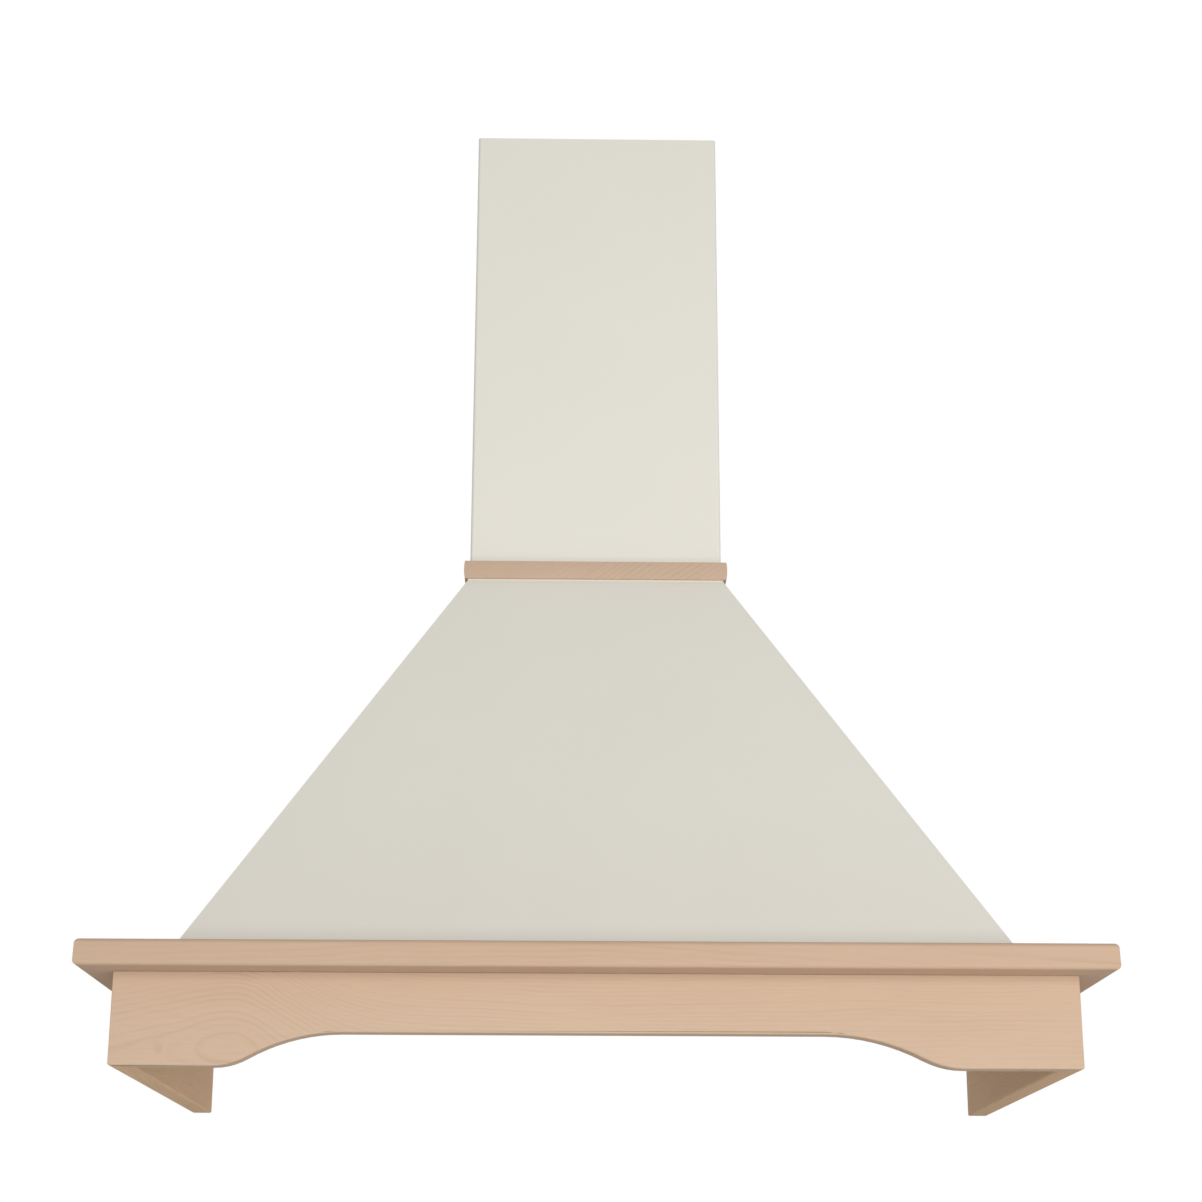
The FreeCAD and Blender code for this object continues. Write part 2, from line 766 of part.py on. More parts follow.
def collar_front():
    half, out = chimney_width / 2, collar_thickness
    face = collar_profile(lambda u, v: V(-half - out, -chimney_depth - u, plate_top_z + v))
    bar = face.extrude(V(chimney_width + 2 * out, 0, 0))
    return bar.common(plan([(-half - out, -chimney_depth - out), (half + out, -chimney_depth - out),
                            (half, -chimney_depth), (-half, -chimney_depth)],
                           plate_top_z, collar_top_z))


def collar_left():
    half, out = chimney_width / 2, collar_thickness
    face = collar_profile(lambda u, v: V(-half - u, -chimney_depth - out, plate_top_z + v))
    bar = face.extrude(V(0, chimney_depth + out, 0))
    return bar.common(plan([(-half - out, -chimney_depth - out), (-half, -chimney_depth),
                            (-half, 0), (-half - out, 0)], plate_top_z, collar_top_z))


def folded_channel(half, front, sheet, bend, flange, back, z0, z1):
    """Sheet folded to three sides of a rectangle, with narrow flanges turned in at the back."""
    def rounded(inset, radius):
        body = block(-half + inset, half - inset, front + inset, back - inset, z0, z1)
        corners = edges_near(body, lambda p: abs(p.y - front - inset) < 0.01 and z0 < p.z < z1
                             and abs(abs(p.x) - half + inset) < 0.01)
        return body.makeFillet(radius, corners)

    gap = block(-half + flange, half - flange, back - 2 * sheet, back + sheet, z0, z1)
    return rounded(0, bend).cut([rounded(sheet, bend - sheet), gap])


inner_half = chimney_width / 2 - chimney_sheet - inner_chimney_gap
inner_front = -chimney_depth + chimney_sheet + inner_chimney_gap
inner_back = -chimney_sheet - inner_chimney_gap / 2
guide_z0 = plate_top_z + bracket_above_plate
guide_z1 = guide_z0 + bracket_height
inner_z0 = guide_z1 + seat_gap
inner_z1 = chimney_top_z - inner_chimney_top_drop


def chimney_lower():
    return folded_channel(chimney_width / 2, -chimney_depth, chimney_sheet, chimney_bend_radius,
                          chimney_back_flange, 0, plate_top_z, chimney_top_z)


def chimney_upper():
    return folded_channel(inner_half, inner_front, inner_chimney_sheet, chimney_bend_radius,
                          chimney_back_flange, inner_back, inner_z0, inner_z1)


def chimney_bracket(reach, z0):
    """Strip screwed to the wall, joggled forward past the chimney's back flanges, with two ears."""
    z1 = z0 + bracket_height
    pad = chimney_width / 2 - chimney_back_flange - bracket_pad_gap
    strip_y = inner_back - inner_chimney_sheet
    s = plate_sheet
    base = block(-pad, pad, -s, 0, z0, z1)
    joggle = block(-pad, -pad + s, strip_y - s, 0, z0, z1)
    strip = block(-reach, -pad + s, strip_y - s, strip_y, z0, z1)
    ear = block(-reach, -reach + s, strip_y - s - bracket_ear, strip_y, z0, z1)
    body = union(base, joggle, strip, ear, mirrored(joggle), mirrored(strip), mirrored(ear))
    middle = (z0 + z1) / 2
    holes = [rod(V(x, -s - 1, middle), Y_AXIS, bracket_hole_diameter / 2, s + 2)
             for x in (-bracket_hole_pitch / 2, bracket_hole_pitch / 2)]
    return body.cut(holes)


def build_canopy():
    left = canopy_left()
    parts["canopy_front"] = canopy_screws.drill(canopy_front())
    parts["canopy_left"] = canopy_screws.drill(left)
    parts["canopy_right"] = canopy_screws.drill(mirrored(left))
    parts["wall_plate"] = blower_screws.drill(canopy_screws.drill(wall_plate()))
    duct_hole = rod(V(0, outlet_y, canopy_top_z - 1), Z_AXIS, spigot_radius - duct_hole_inset,
                    plate_sheet + 2)
    gland_hole = rod(V(gland_x, gland_y, canopy_top_z - 1), Z_AXIS,
                     gland_thread_radius + joint_clearance, plate_sheet + 2)
    top = canopy_top().cut([duct_hole, gland_hole])
    parts["canopy_top"] = blower_screws.drill(top)
    angles = [collar_screws.drill(angle) for angle in plate_angles() + collar_tabs()]
    parts["top_plate_angles"] = group(angles)
    parts["canopy_screws"] = group(canopy_screws.screws)


def build_chimney():
    side = collar_left()
    strips = {"collar_front": collar_front(), "collar_left": side, "collar_right": mirrored(side)}
    for name, strip in strips.items():
        parts[name] = collar_screws.drill(strip)
    parts["collar_screws"] = group(collar_screws.screws)
    parts["chimney_lower"] = collar_screws.drill(chimney_lower())
    parts["chimney_upper"] = chimney_upper()
    parts["chimney_guide_bracket"] = chimney_bracket(inner_half, guide_z0)
    parts["ceiling_bracket"] = chimney_bracket(inner_half - inner_chimney_sheet,
                                               inner_z1 - bracket_top_drop - bracket_height)


# ---------------------------------------------------------------- bottom pan and grease filters


def bottom_pan():
    t = pan_sheet
    tray = block(-pan_x, pan_x, pan_front_y, pan_rear_y, pan_bottom_z, cornice_top_z + t)
    hollow = block(-pan_x + t, pan_x - t, pan_front_y + t, pan_rear_y - t,
                   pan_floor_z, cornice_top_z + 2 * t)
    flange = block(-pan_flange_x, pan_flange_x, pan_flange_y, -rail_depth / 2 - pan_flange_gap,
                   cornice_top_z, cornice_top_z + t)
    body = union(tray, flange).cut(hollow)
    half = filter_width / 2 + filter_gap
    cuts = []
    for sign in (-1, 1):
        middle = sign * filter_middle_x
        cuts.append(block(middle - half, middle + half, filter_hole_front_y, filter_hole_rear_y,
                          pan_bottom_z - 1, pan_floor_z + 1))
        cuts.append(rod(V(sign * lamp_x, strip_middle_y, pan_bottom_z - 1), Z_AXIS,
                        lamp_radius + lamp_hole_gap, t + 2))
    reach_x = control_length / 2
    reach_y = control_depth / 2
    cuts.append(block(control_middle_x - reach_x, control_middle_x + reach_x,
                      strip_middle_y - reach_y, strip_middle_y + reach_y,
                      pan_bottom_z - 1, pan_floor_z + 1))
    return body.cut(cuts)


filter_front = filter_hole_front_y + filter_gap
filter_rear = filter_hole_rear_y - filter_gap
filter_top_z = pan_bottom_z + filter_thickness
pocket_rear = filter_front + latch_pocket_length
latch_z1 = filter_top_z - filter_sheet - latch_roof_gap
latch_z0 = latch_z1 - latch_plate_thickness
latch_front = filter_front + filter_sheet + seat_gap


def latch_shape():
    """Sliding catch with a finger grip below and a nose towards the front rim of the pan."""
    half = latch_plate_width / 2
    plate = block(-half, half, latch_front, latch_front + latch_plate_length, latch_z0, latch_z1)
    grip_y = latch_front + latch_plate_length / 2
    half = latch_grip_width / 2
    grip = block(-half, half, grip_y, grip_y + latch_grip_thickness,
                 pan_bottom_z - latch_grip_drop, latch_z0)
    lip = block(-half, half, grip_y, grip_y + 2 * latch_grip_thickness,
                pan_bottom_z - latch_grip_drop, pan_bottom_z - latch_grip_drop + latch_lip_thickness)
    half = latch_nose_width / 2
    nose = block(-half, half, filter_hole_front_y + seat_gap, latch_front,
                 latch_z0, latch_z0 + latch_nose_thickness)
    return union(plate, grip, lip, nose)


def filter_frame():
    """Folded channel round the mesh, with a pocket for the latch and two hooks at the rear."""
    half = filter_width / 2
    rail, t = filter_rail, filter_sheet
    z0, z1 = pan_bottom_z, filter_top_z
    ring = block(-half, half, filter_front, filter_rear, z0, z1)
    window = block(-half + rail, half - rail, filter_front + rail, filter_rear - rail, z0 - 1, z1 + 1)
    channel = block(-half + t, half - t, filter_front + t, filter_rear - t, z0 + t, z1 - t)
    pocket_half = latch_pocket_width / 2
    pocket = block(-pocket_half, pocket_half, filter_front, pocket_rear, z0, z1)
    body = union(ring.cut([window, channel]), pocket)
    slide_half = pocket_half - latch_pocket_wall
    slide_space = block(-slide_half, slide_half, filter_front + t, pocket_rear - t,
                        latch_z0 - seat_gap, z1 - t)
    grip_half = slide_half - latch_ledge
    grip_space = block(-grip_half, grip_half, filter_front + t, pocket_rear - t, z0 - 1, z1 - t)
    nose_half = latch_nose_width / 2 + seat_gap
    nose_slot = block(-nose_half, nose_half, filter_front - 1, filter_front + t + 1,
                      latch_z0 - seat_gap, latch_z0 + latch_nose_thickness + seat_gap)
    body = body.cut([slide_space, grip_space, nose_slot])
    hook_z = pan_floor_z + seat_gap
    hooks = []
    for x in (-half + filter_tab_inset, half - filter_tab_inset):
        hooks.append(block(x - filter_tab_width / 2, x + filter_tab_width / 2,
                           filter_rear - t, filter_rear + filter_tab_length, hook_z, hook_z + t))
    return union(body, *hooks)


def filter_mesh():
    """Expanded metal core: a slab with diamond openings, held in the frame's channel."""
    t = filter_sheet + joint_clearance
    half = filter_width / 2 - t
    z0, z1 = pan_bottom_z + t, filter_top_z - t
    outline = [V(-half, filter_front + t, z0), V(half, filter_front + t, z0),
               V(half, filter_rear - t, z0), V(-half, filter_rear - t, z0)]
    reach = mesh_cell / 2
    half_pitch = mesh_pitch / 2
    open_x = filter_width / 2 - filter_rail - reach
    open_y = filter_length / 2 - filter_rail - reach
    columns, rows = int(open_x // half_pitch), int(open_y // half_pitch)
    middle_y = (filter_front + filter_rear) / 2
    pocket_half = latch_pocket_width / 2 + joint_clearance
    wires = [Part.makePolygon(outline + [outline[0]])]
    for i in range(-columns, columns + 1):
        for j in range(-rows, rows + 1):
            x, y = i * half_pitch, middle_y + j * half_pitch
            beside_latch = abs(x) < pocket_half + reach and y < pocket_rear + reach
            if (i + j) % 2 or beside_latch:
                continue
            cell = [V(x - reach, y, z0), V(x, y - reach, z0), V(x + reach, y, z0), V(x, y + reach, z0)]
            wires.append(Part.makePolygon(cell + [cell[0]]))
    face = Part.Face(wires, "Part::FaceMakerBullseye")
    slab = face.extrude(V(0, 0, z1 - z0))
    notch = block(-pocket_half, pocket_half, filter_front - 1, pocket_rear + joint_clearance,
                  z0 - 1, z1 + 1)
    return slab.cut(notch)


def build_pan():
    parts["bottom_pan"] = canopy_screws.drill(bottom_pan())
    for side, sign in (("left", -1), ("right", 1)):
        dx = sign * filter_middle_x
        parts["filter_%s_frame" % side] = moved(filter_frame(), dx)
        parts["filter_%s_mesh" % side] = moved(filter_mesh(), dx)
        parts["filter_%s_latch" % side] = moved(latch_shape(), dx)


# ---------------------------------------------------------------- lamps and controls


def lamp_housing():
    """Round spot lamp: a can through the pan's hole, and a rim below it."""
    z0 = pan_bottom_z - lamp_rim_thickness
    rim = rod(V(0, strip_middle_y, z0), Z_AXIS, lamp_rim_radius, lamp_rim_thickness)
    rim = rim.makeFillet(lamp_rim_edge, edges_near(rim, lambda p: p.z < z0 + 0.01))
    can = rod(V(0, strip_middle_y, pan_bottom_z), Z_AXIS, lamp_radius, lamp_height)
    recess = rod(V(0, strip_middle_y, z0 - 1), Z_AXIS, lamp_lens_radius + joint_clearance,
                 lamp_lens_recess + lamp_lens_thickness + 1)
    chamber = rod(V(0, strip_middle_y, z0), Z_AXIS, lamp_lens_radius - lamp_lens_seat,
                  lamp_rim_thickness + lamp_height - lamp_cap)
    return union(rim, can).cut([recess, chamber])


def lamp_lens():
    z0 = pan_bottom_z - lamp_rim_thickness + lamp_lens_recess
    return rod(V(0, strip_middle_y, z0), Z_AXIS, lamp_lens_radius, lamp_lens_thickness)


button_names = ["button_light", "button_off", "button_low", "button_medium", "button_high"]
control_face_z = pan_bottom_z - control_wall
control_floor_z = control_face_z + control_floor
board_z = control_floor_z + board_height


def button_x(i):
    return control_middle_x + (i - (button_count - 1) / 2) * button_pitch


def control_housing():
    """Open-topped box in the pan with a rim below it and a bore for each button."""
    half_x, half_y = control_length / 2, control_depth / 2
    x, y = control_middle_x, strip_middle_y
    rim = block(x - half_x - control_rim, x + half_x + control_rim,
                y - half_y - control_rim, y + half_y + control_rim, control_face_z, pan_bottom_z)
    gap = control_hole_gap
    body = block(x - half_x + gap, x + half_x - gap, y - half_y + gap, y + half_y - gap,
                 pan_bottom_z, pan_bottom_z + control_height)
    inset = gap + control_wall
    hollow = block(x - half_x + inset, x + half_x - inset, y - half_y + inset, y + half_y - inset,
                   control_floor_z, pan_bottom_z + control_height + 1)
    bores = [rod(V(button_x(i), y, control_face_z - 1), Z_AXIS, button_radius + button_gap,
                 control_floor_z - control_face_z + 2) for i in range(button_count)]
    shell = union(rim, body).cut([hollow] + bores)
    post_x = half_x - inset - board_post_radius
    post_y = half_y - inset - board_post_radius
    posts = [rod(V(x + sx * post_x, y + sy * post_y, control_floor_z), Z_AXIS, board_post_radius,
                 board_height)
             for sx in (-1, 1) for sy in (-1, 1)]
    return union(shell, *posts)


def control_board():
    """Circuit board on the housing's posts, with one switch over each button."""
    inset = control_hole_gap + control_wall + board_gap
    half_x, half_y = control_length / 2 - inset, control_depth / 2 - inset
    x, y = control_middle_x, strip_middle_y
    board = block(x - half_x, x + half_x, y - half_y, y + half_y, board_z, board_z + board_thickness)
    half = switch_size / 2
    switches = [block(button_x(i) - half, button_x(i) + half, y - half, y + half,
                      board_z - switch_height, board_z) for i in range(button_count)]
    return union(board, *switches)


def button(i):
    """Round cap with a flange that keeps it in the housing and a stem towards its switch."""
    x, y = button_x(i), strip_middle_y
    low = control_face_z - button_stand_out
    flange_z = control_floor_z + seat_gap
    cap = rod(V(x, y, low), Z_AXIS, button_radius, flange_z - low)
    cap = cap.makeFillet(button_edge_radius, edges_near(cap, lambda p: p.z < low + 0.01))
    flange = rod(V(x, y, flange_z), Z_AXIS, button_flange_radius, button_flange_thickness)
    stem_top = board_z - switch_height - button_travel - seat_gap
    stem_z = flange_z + button_flange_thickness
    stem = rod(V(x, y, stem_z), Z_AXIS, button_radius / 2, stem_top - stem_z)
    return union(cap, flange, stem)


def lamp_driver():
    x, y = driver_middle_x, strip_middle_y
    body = block(x - driver_length / 2, x + driver_length / 2, y - driver_depth / 2,
                 y + driver_depth / 2, pan_floor_z, pan_floor_z + driver_height)
    return body.makeFillet(box_edge_radius, edges_near(body, lambda p: p.z > pan_floor_z + 1))


def build_controls():
    for side, sign in (("left", -1), ("right", 1)):
        parts["lamp_%s" % side] = moved(lamp_housing(), sign * lamp_x)
        parts["lamp_%s_lens" % side] = moved(lamp_lens(), sign * lamp_x)
    parts["control_housing"] = control_housing()
    parts["control_board"] = control_board()
    for i, name in enumerate(button_names):
        parts[name] = button(i)
    parts["lamp_driver"] = lamp_driver()


# ---------------------------------------------------------------- blower


def scroll_face(x, grow, neck_top):
    """Air space of the blower in the plane x: three quarter arcs of growing radius, then a
    straight neck up to neck_top. grow moves the whole outline outwards."""
    step = scroll_growth
    r = scroll_start_radius + grow
    centres = [(-step / 2, -step / 2), (step / 2, -step / 2), (step / 2, step / 2)]

    def at(centre, radius, angle):
        return V(x, fan_y + centre[0] + radius * math.cos(angle),
                 fan_z + centre[1] + radius * math.sin(angle))

    rear_y = fan_y + centres[2][0] + r + 2 * step
    neck_front_y = fan_y + centres[2][0] + scroll_start_radius + 2 * step - outlet_depth - grow
    start = math.acos((neck_front_y - fan_y - centres[0][0]) / r)
    spans = [(centres[0], r, start, math.pi), (centres[1], r + step, math.pi, 1.5 * math.pi),
             (centres[2], r + 2 * step, 1.5 * math.pi, 2 * math.pi)]
    edges = [Part.Arc(at(c, q, a), at(c, q, (a + b) / 2), at(c, q, b)).toShape()
             for c, q, a, b in spans]
    tongue = at(centres[0], r, start)
    turn = at(centres[2], r + 2 * step, 2 * math.pi)
    corners = [turn, V(x, rear_y, neck_top), V(x, neck_front_y, neck_top), tongue]
    edges += [Part.makeLine(a, b) for a, b in zip(corners, corners[1:])]
    return Part.Face(Part.Wire(Part.__sortEdges__(edges)))


def blower_scroll():
    """Wrapper of the blower with its neck and the flange that hangs it under the top plate."""
    half = scroll_width / 2
    outer = scroll_face(-half, scroll_sheet, canopy_top_z).extrude(V(scroll_width, 0, 0))
    air = scroll_face(-half, 0, canopy_top_z).extrude(V(scroll_width, 0, 0))
    reach_x = half + scroll_sheet + neck_flange
    reach_y = outlet_depth / 2 + scroll_sheet + neck_flange
    flange = block(-reach_x, reach_x, outlet_y - reach_y, outlet_y + reach_y,
                   canopy_top_z - scroll_sheet, canopy_top_z)
    mouth = block(-half - scroll_sheet, half + scroll_sheet, outlet_y - outlet_depth / 2,
                  outlet_y + outlet_depth / 2, canopy_top_z - 2 * scroll_sheet, canopy_top_z + 1)
    return union(outer.cut(air), flange.cut(mouth))


def blower_side(x):
    """Flat side plate of the blower, x is its lower face."""
    return scroll_face(x, scroll_sheet, canopy_top_z - scroll_sheet).extrude(V(scroll_sheet, 0, 0))


def blower_inlet_plate():
    x0 = -scroll_width / 2 - scroll_sheet
    lip = rod(V(x0, fan_y, fan_z), X_AXIS, inlet_radius + scroll_sheet, inlet_lip + scroll_sheet)
    eye = rod(V(x0 - 1, fan_y, fan_z), X_AXIS, inlet_radius, inlet_lip + scroll_sheet + 2)
    return union(blower_side(x0), lip).cut(eye)


def blower_motor_plate():
    x0 = scroll_width / 2
    hole = rod(V(x0 - 1, fan_y, fan_z), X_AXIS, motor_hole_radius, scroll_sheet + 2)
    return blower_side(x0).cut(hole)


def impeller():
    """Drum of forward-curved blades crimped between a ring on the inlet side and a disc with a hub.
    The ring, the disc and each blade are sheets of their own."""
    half = impeller_width / 2
    centre = V(0, fan_y, fan_z)
    r0, r1 = impeller_radius - blade_depth, impeller_radius
    front_ring = rod(centre + X_AXIS * -half, X_AXIS, r1, ring_sheet)
    front_ring = front_ring.cut(rod(centre + X_AXIS * (-half - 1), X_AXIS, r0, ring_sheet + 2))
    disc = rod(centre + X_AXIS * (half - ring_sheet), X_AXIS, r1, ring_sheet)
    hub = rod(centre + X_AXIS * (half - hub_length), X_AXIS, hub_radius, hub_length)

    def polar(radius, angle):
        return V(-half + ring_sheet, fan_y + radius * math.cos(angle), fan_z + radius * math.sin(angle))

    lead = math.radians(blade_lead)
    mid_radius = (r0 + r1) / 2
    thick = blade_sheet / mid_radius
    near, far = r0 + blade_end_inset, r1 - blade_end_inset

    def bowed(start):
        return Part.Arc(polar(near, start), polar(mid_radius, start + lead * blade_bow),
                        polar(far, start + lead)).toShape()

    blades = []
    for i in range(blade_count):
        a = 2 * math.pi * i / blade_count
        edges = [bowed(a), bowed(a + thick),
                 Part.makeLine(polar(near, a), polar(near, a + thick)),
                 Part.makeLine(polar(far, a + lead), polar(far, a + lead + thick))]
        face = Part.Face(Part.Wire(Part.__sortEdges__(edges)))
        blades.append(face.extrude(V(impeller_width - 2 * ring_sheet, 0, 0)))
    bore = rod(centre + X_AXIS * (half - hub_length - 1), X_AXIS, shaft_radius + hub_bore_gap,
               hub_length + 2)
    return group([front_ring, union(disc, hub).cut(bore)]), group(blades)


motor_x0 = scroll_width / 2 + scroll_sheet


def motor():
    """Motor can with a flange screwed to the blower's side plate, bored for its shaft."""
    start = V(motor_x0, fan_y, fan_z)
    can = rod(start, X_AXIS, motor_radius, motor_length)
    can = can.makeFillet(motor_edge_radius, edges_near(can, lambda p: p.x > motor_x0 + motor_length - 0.01))
    flange = rod(start, X_AXIS, motor_flange_radius, motor_flange_thickness)
    bore = rod(start - X_AXIS, X_AXIS, shaft_radius + shaft_clearance, motor_length - motor_end_wall + 1)
    return union(can, flange).cut(bore)


def motor_shaft():
    x0 = impeller_width / 2 - hub_length + shaft_end_gap
    x1 = motor_x0 + motor_length - motor_end_wall - shaft_end_gap
    return rod(V(x0, fan_y, fan_z), X_AXIS, shaft_radius, x1 - x0)


blower_screws = ScrewSet(sheet_screw)
for sx in (-1, 1):
    for sy in (-1, 1):
        # neck flange to the top plate, from below
        flange_x = scroll_width / 2 + scroll_sheet + neck_flange / 2
        blower_screws.add(V(sx * flange_x, outlet_y + sy * outlet_depth / 3,
                            canopy_top_z - scroll_sheet), Z_AXIS, scroll_sheet + plate_sheet + screw_stand_out)
        # spigot flange to the top plate, from above
        ring = (spigot_radius + spigot_flange_radius) / 2
        blower_screws.add(V(sx * ring * math.sqrt(0.5), outlet_y + sy * ring * math.sqrt(0.5),
                            plate_top_z + spigot_sheet), Z_AXIS * -1, thin_screw_reach)
for i in range(3):
    # motor flange to the blower's side plate
    angle = math.radians(90 + 120 * i)
    ring = (motor_radius + motor_flange_radius) / 2
    blower_screws.add(V(motor_x0 + motor_flange_thickness, fan_y + ring * math.cos(angle),
                        fan_z + ring * math.sin(angle)), X_AXIS * -1, thin_screw_reach)
scroll_rear_y = outlet_y + outlet_depth / 2 + scroll_sheet
bracket_z = fan_z + 0.5 * (canopy_top_z - fan_z)
bracket_screw_x = blower_bracket_width / 2 - blower_bracket_screw_inset
for sx in (-1, 1):
    blower_screws.add(V(sx * bracket_screw_x, scroll_rear_y + plate_sheet,
                        bracket_z - blower_bracket_height / 2), Y_AXIS * -1, thin_screw_reach)
    blower_screws.add(V(sx * bracket_screw_x, -2 * plate_sheet,
                        bracket_z + blower_bracket_height / 2), Y_AXIS,
                      2 * plate_sheet - screw_wall_gap)


def blower_bracket():
    """Z-shaped strip from the wall plate to the back of the blower."""
    half, s, h = blower_bracket_width / 2, plate_sheet, blower_bracket_height
    on_scroll = block(-half, half, scroll_rear_y, scroll_rear_y + s, bracket_z - h, bracket_z + s)
    shelf = block(-half, half, scroll_rear_y, -s, bracket_z, bracket_z + s)
    on_wall = block(-half, half, -2 * s, -s, bracket_z, bracket_z + h)
    return union(on_scroll, shelf, on_wall)


def build_blower():
    parts["blower_scroll"] = blower_screws.drill(blower_scroll())
    parts["blower_inlet_plate"] = blower_screws.drill(blower_inlet_plate())
    parts["blower_motor_plate"] = blower_screws.drill(blower_motor_plate())
    parts["impeller"], parts["impeller_blades"] = impeller()
    parts["motor"] = blower_screws.drill(motor())
    parts["motor_shaft"] = motor_shaft()
    parts["blower_bracket"] = blower_screws.drill(blower_bracket())
    parts["blower_screws"] = group(blower_screws.screws)


# ---------------------------------------------------------------- duct outlet and non-return flaps

seat_top_z = plate_top_z + seat_ring_height + spigot_sheet
pin_z = seat_top_z + seat_gap + flap_thickness / 2
spigot_inner = spigot_radius - spigot_sheet
flap_radius = spigot_inner - flap_gap


def duct_spigot():
    base = V(0, outlet_y, plate_top_z)
    tube = rod(base, Z_AXIS, spigot_radius, spigot_height)
    flange = rod(base, Z_AXIS, spigot_flange_radius, spigot_sheet)
    low = rod(base - Z_AXIS, Z_AXIS, spigot_inner, seat_ring_height + 1)
    seat = rod(base, Z_AXIS, spigot_inner - seat_ring_width, spigot_height)
    high = rod(V(0, outlet_y, seat_top_z), Z_AXIS, spigot_inner, spigot_height)
    pin_hole = rod(V(-spigot_radius - 1, outlet_y, pin_z), X_AXIS, pin_radius + joint_clearance / 2,
                   2 * spigot_radius + 2)
    return union(tube, flange).cut([low, seat, high, pin_hole])


def damper_pin():
    half = spigot_radius - pin_end_gap
    return rod(V(-half, outlet_y, pin_z), X_AXIS, pin_radius, 2 * half)


def damper_flap(sign, segments):
    """Half disc hinged on the pin. sign is -1 for the front flap, 1 for the rear flap."""
    z0 = pin_z - flap_thickness / 2
    disc = rod(V(0, outlet_y, z0), Z_AXIS, flap_radius, flap_thickness)
    far = flap_radius + 1
    near = sorted((sign * flap_edge, sign * far))
    half_disc = disc.common(block(-far, far, outlet_y + near[0], outlet_y + near[1],
                                  z0 - 1, z0 + flap_thickness + 1))
    body = half_disc
    for x0, x1 in segments:
        sleeve = rod(V(x0, outlet_y, pin_z), X_AXIS, sleeve_radius, x1 - x0)
        side = sorted((0, sign * (flap_edge + flap_web_bite)))
        web = block(x0, x1, outlet_y + side[0], outlet_y + side[1], z0, z0 + flap_thickness)
        body = union(body, sleeve, web)
    bore = rod(V(-far, outlet_y, pin_z), X_AXIS, pin_radius + shaft_clearance, 2 * far)
    return body.cut(bore)


def flap_segments(first):
    """Sleeves that the two flaps share out along the pin. first is 0 or 1."""
    reach = flap_radius - sleeve_end_inset
    length = (2 * reach - 3 * sleeve_gap) / 4
    starts = [-reach + i * (length + sleeve_gap) for i in range(4)]
    return [(s, s + length) for s in starts[first::2]]


def build_outlet():
    parts["duct_spigot"] = blower_screws.drill(duct_spigot())
    parts["damper_pin"] = damper_pin()
    parts["damper_flap_front"] = damper_flap(-1, flap_segments(0))
    parts["damper_flap_rear"] = damper_flap(1, flap_segments(1))


# ---------------------------------------------------------------- electrics


def junction_box():
    x, y = junction_middle_x, -plate_sheet
    body = block(x - junction_width / 2, x + junction_width / 2, y - junction_depth, y,
                 -junction_height / 2, junction_height / 2)
    return body.makeFillet(box_edge_radius, edges_near(body, lambda p: p.y < y - 1))


def cable_gland():
    """Gland through the top plate: hexagon and dome above, thread below, bored for the cable."""
    base = V(gland_x, gland_y, plate_top_z)
    corner = gland_across_flats / math.sqrt(3)
    points = [base + V(corner * math.cos(math.pi / 3 * i), corner * math.sin(math.pi / 3 * i), 0)
              for i in range(6)]
    hexagon = prism(points, Z_AXIS * gland_hex_height)
    dome = rod(base + Z_AXIS * gland_hex_height, Z_AXIS, gland_dome_radius, gland_dome_height)
    top_z = plate_top_z + gland_hex_height + gland_dome_height
    dome = dome.makeFillet(gland_dome_edge, edges_near(dome, lambda p: p.z > top_z - 0.01))
    thread = rod(base - Z_AXIS * gland_below_plate, Z_AXIS, gland_thread_radius, gland_below_plate)
    bore = rod(base - Z_AXIS * (gland_below_plate + 1), Z_AXIS, gland_bore_radius,
               gland_below_plate + gland_hex_height + gland_dome_height + 2)
    return union(hexagon, dome, thread).cut(bore)


def build_electrics():
    parts["junction_box"] = junction_box()
    parts["cable_gland"] = cable_gland()


# ---------------------------------------------------------------- build and write

build_frame()
build_canopy()
build_chimney()
build_pan()
build_controls()
build_blower()
build_outlet()
build_electrics()

for name, shape in parts.items():
    shape.exportStep("parts/" + name + ".step")
    print("%-24s solids %3d  volume %12.1f  valid %s"
          % (name, len(shape.Solids), shape.Volume, shape.isValid()))
print("nodes", len(parts))
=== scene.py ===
# %% [markdown]
# # A cooker hood with a wooden frame
# This lesson dresses a wall-mounted cooker hood. The real one has a raw wood frame round its foot,
# a cream painted canopy and chimney of sheet steel, and a strip of the same wood between them.
# Under the canopy hang two grease filters, two lamps and a row of push buttons, and inside sits a fan.
# The solids come in from the frame at their real size in metres, so nothing here is scaled or moved.
# What is left to do is what a finisher does: ease the edges, weave the filters, turn the screws,
# and give wood, paint, metal and plastic their look.

# %% Load the frame
import json
import math

import bmesh
import bpy
from mathutils import Matrix, Vector


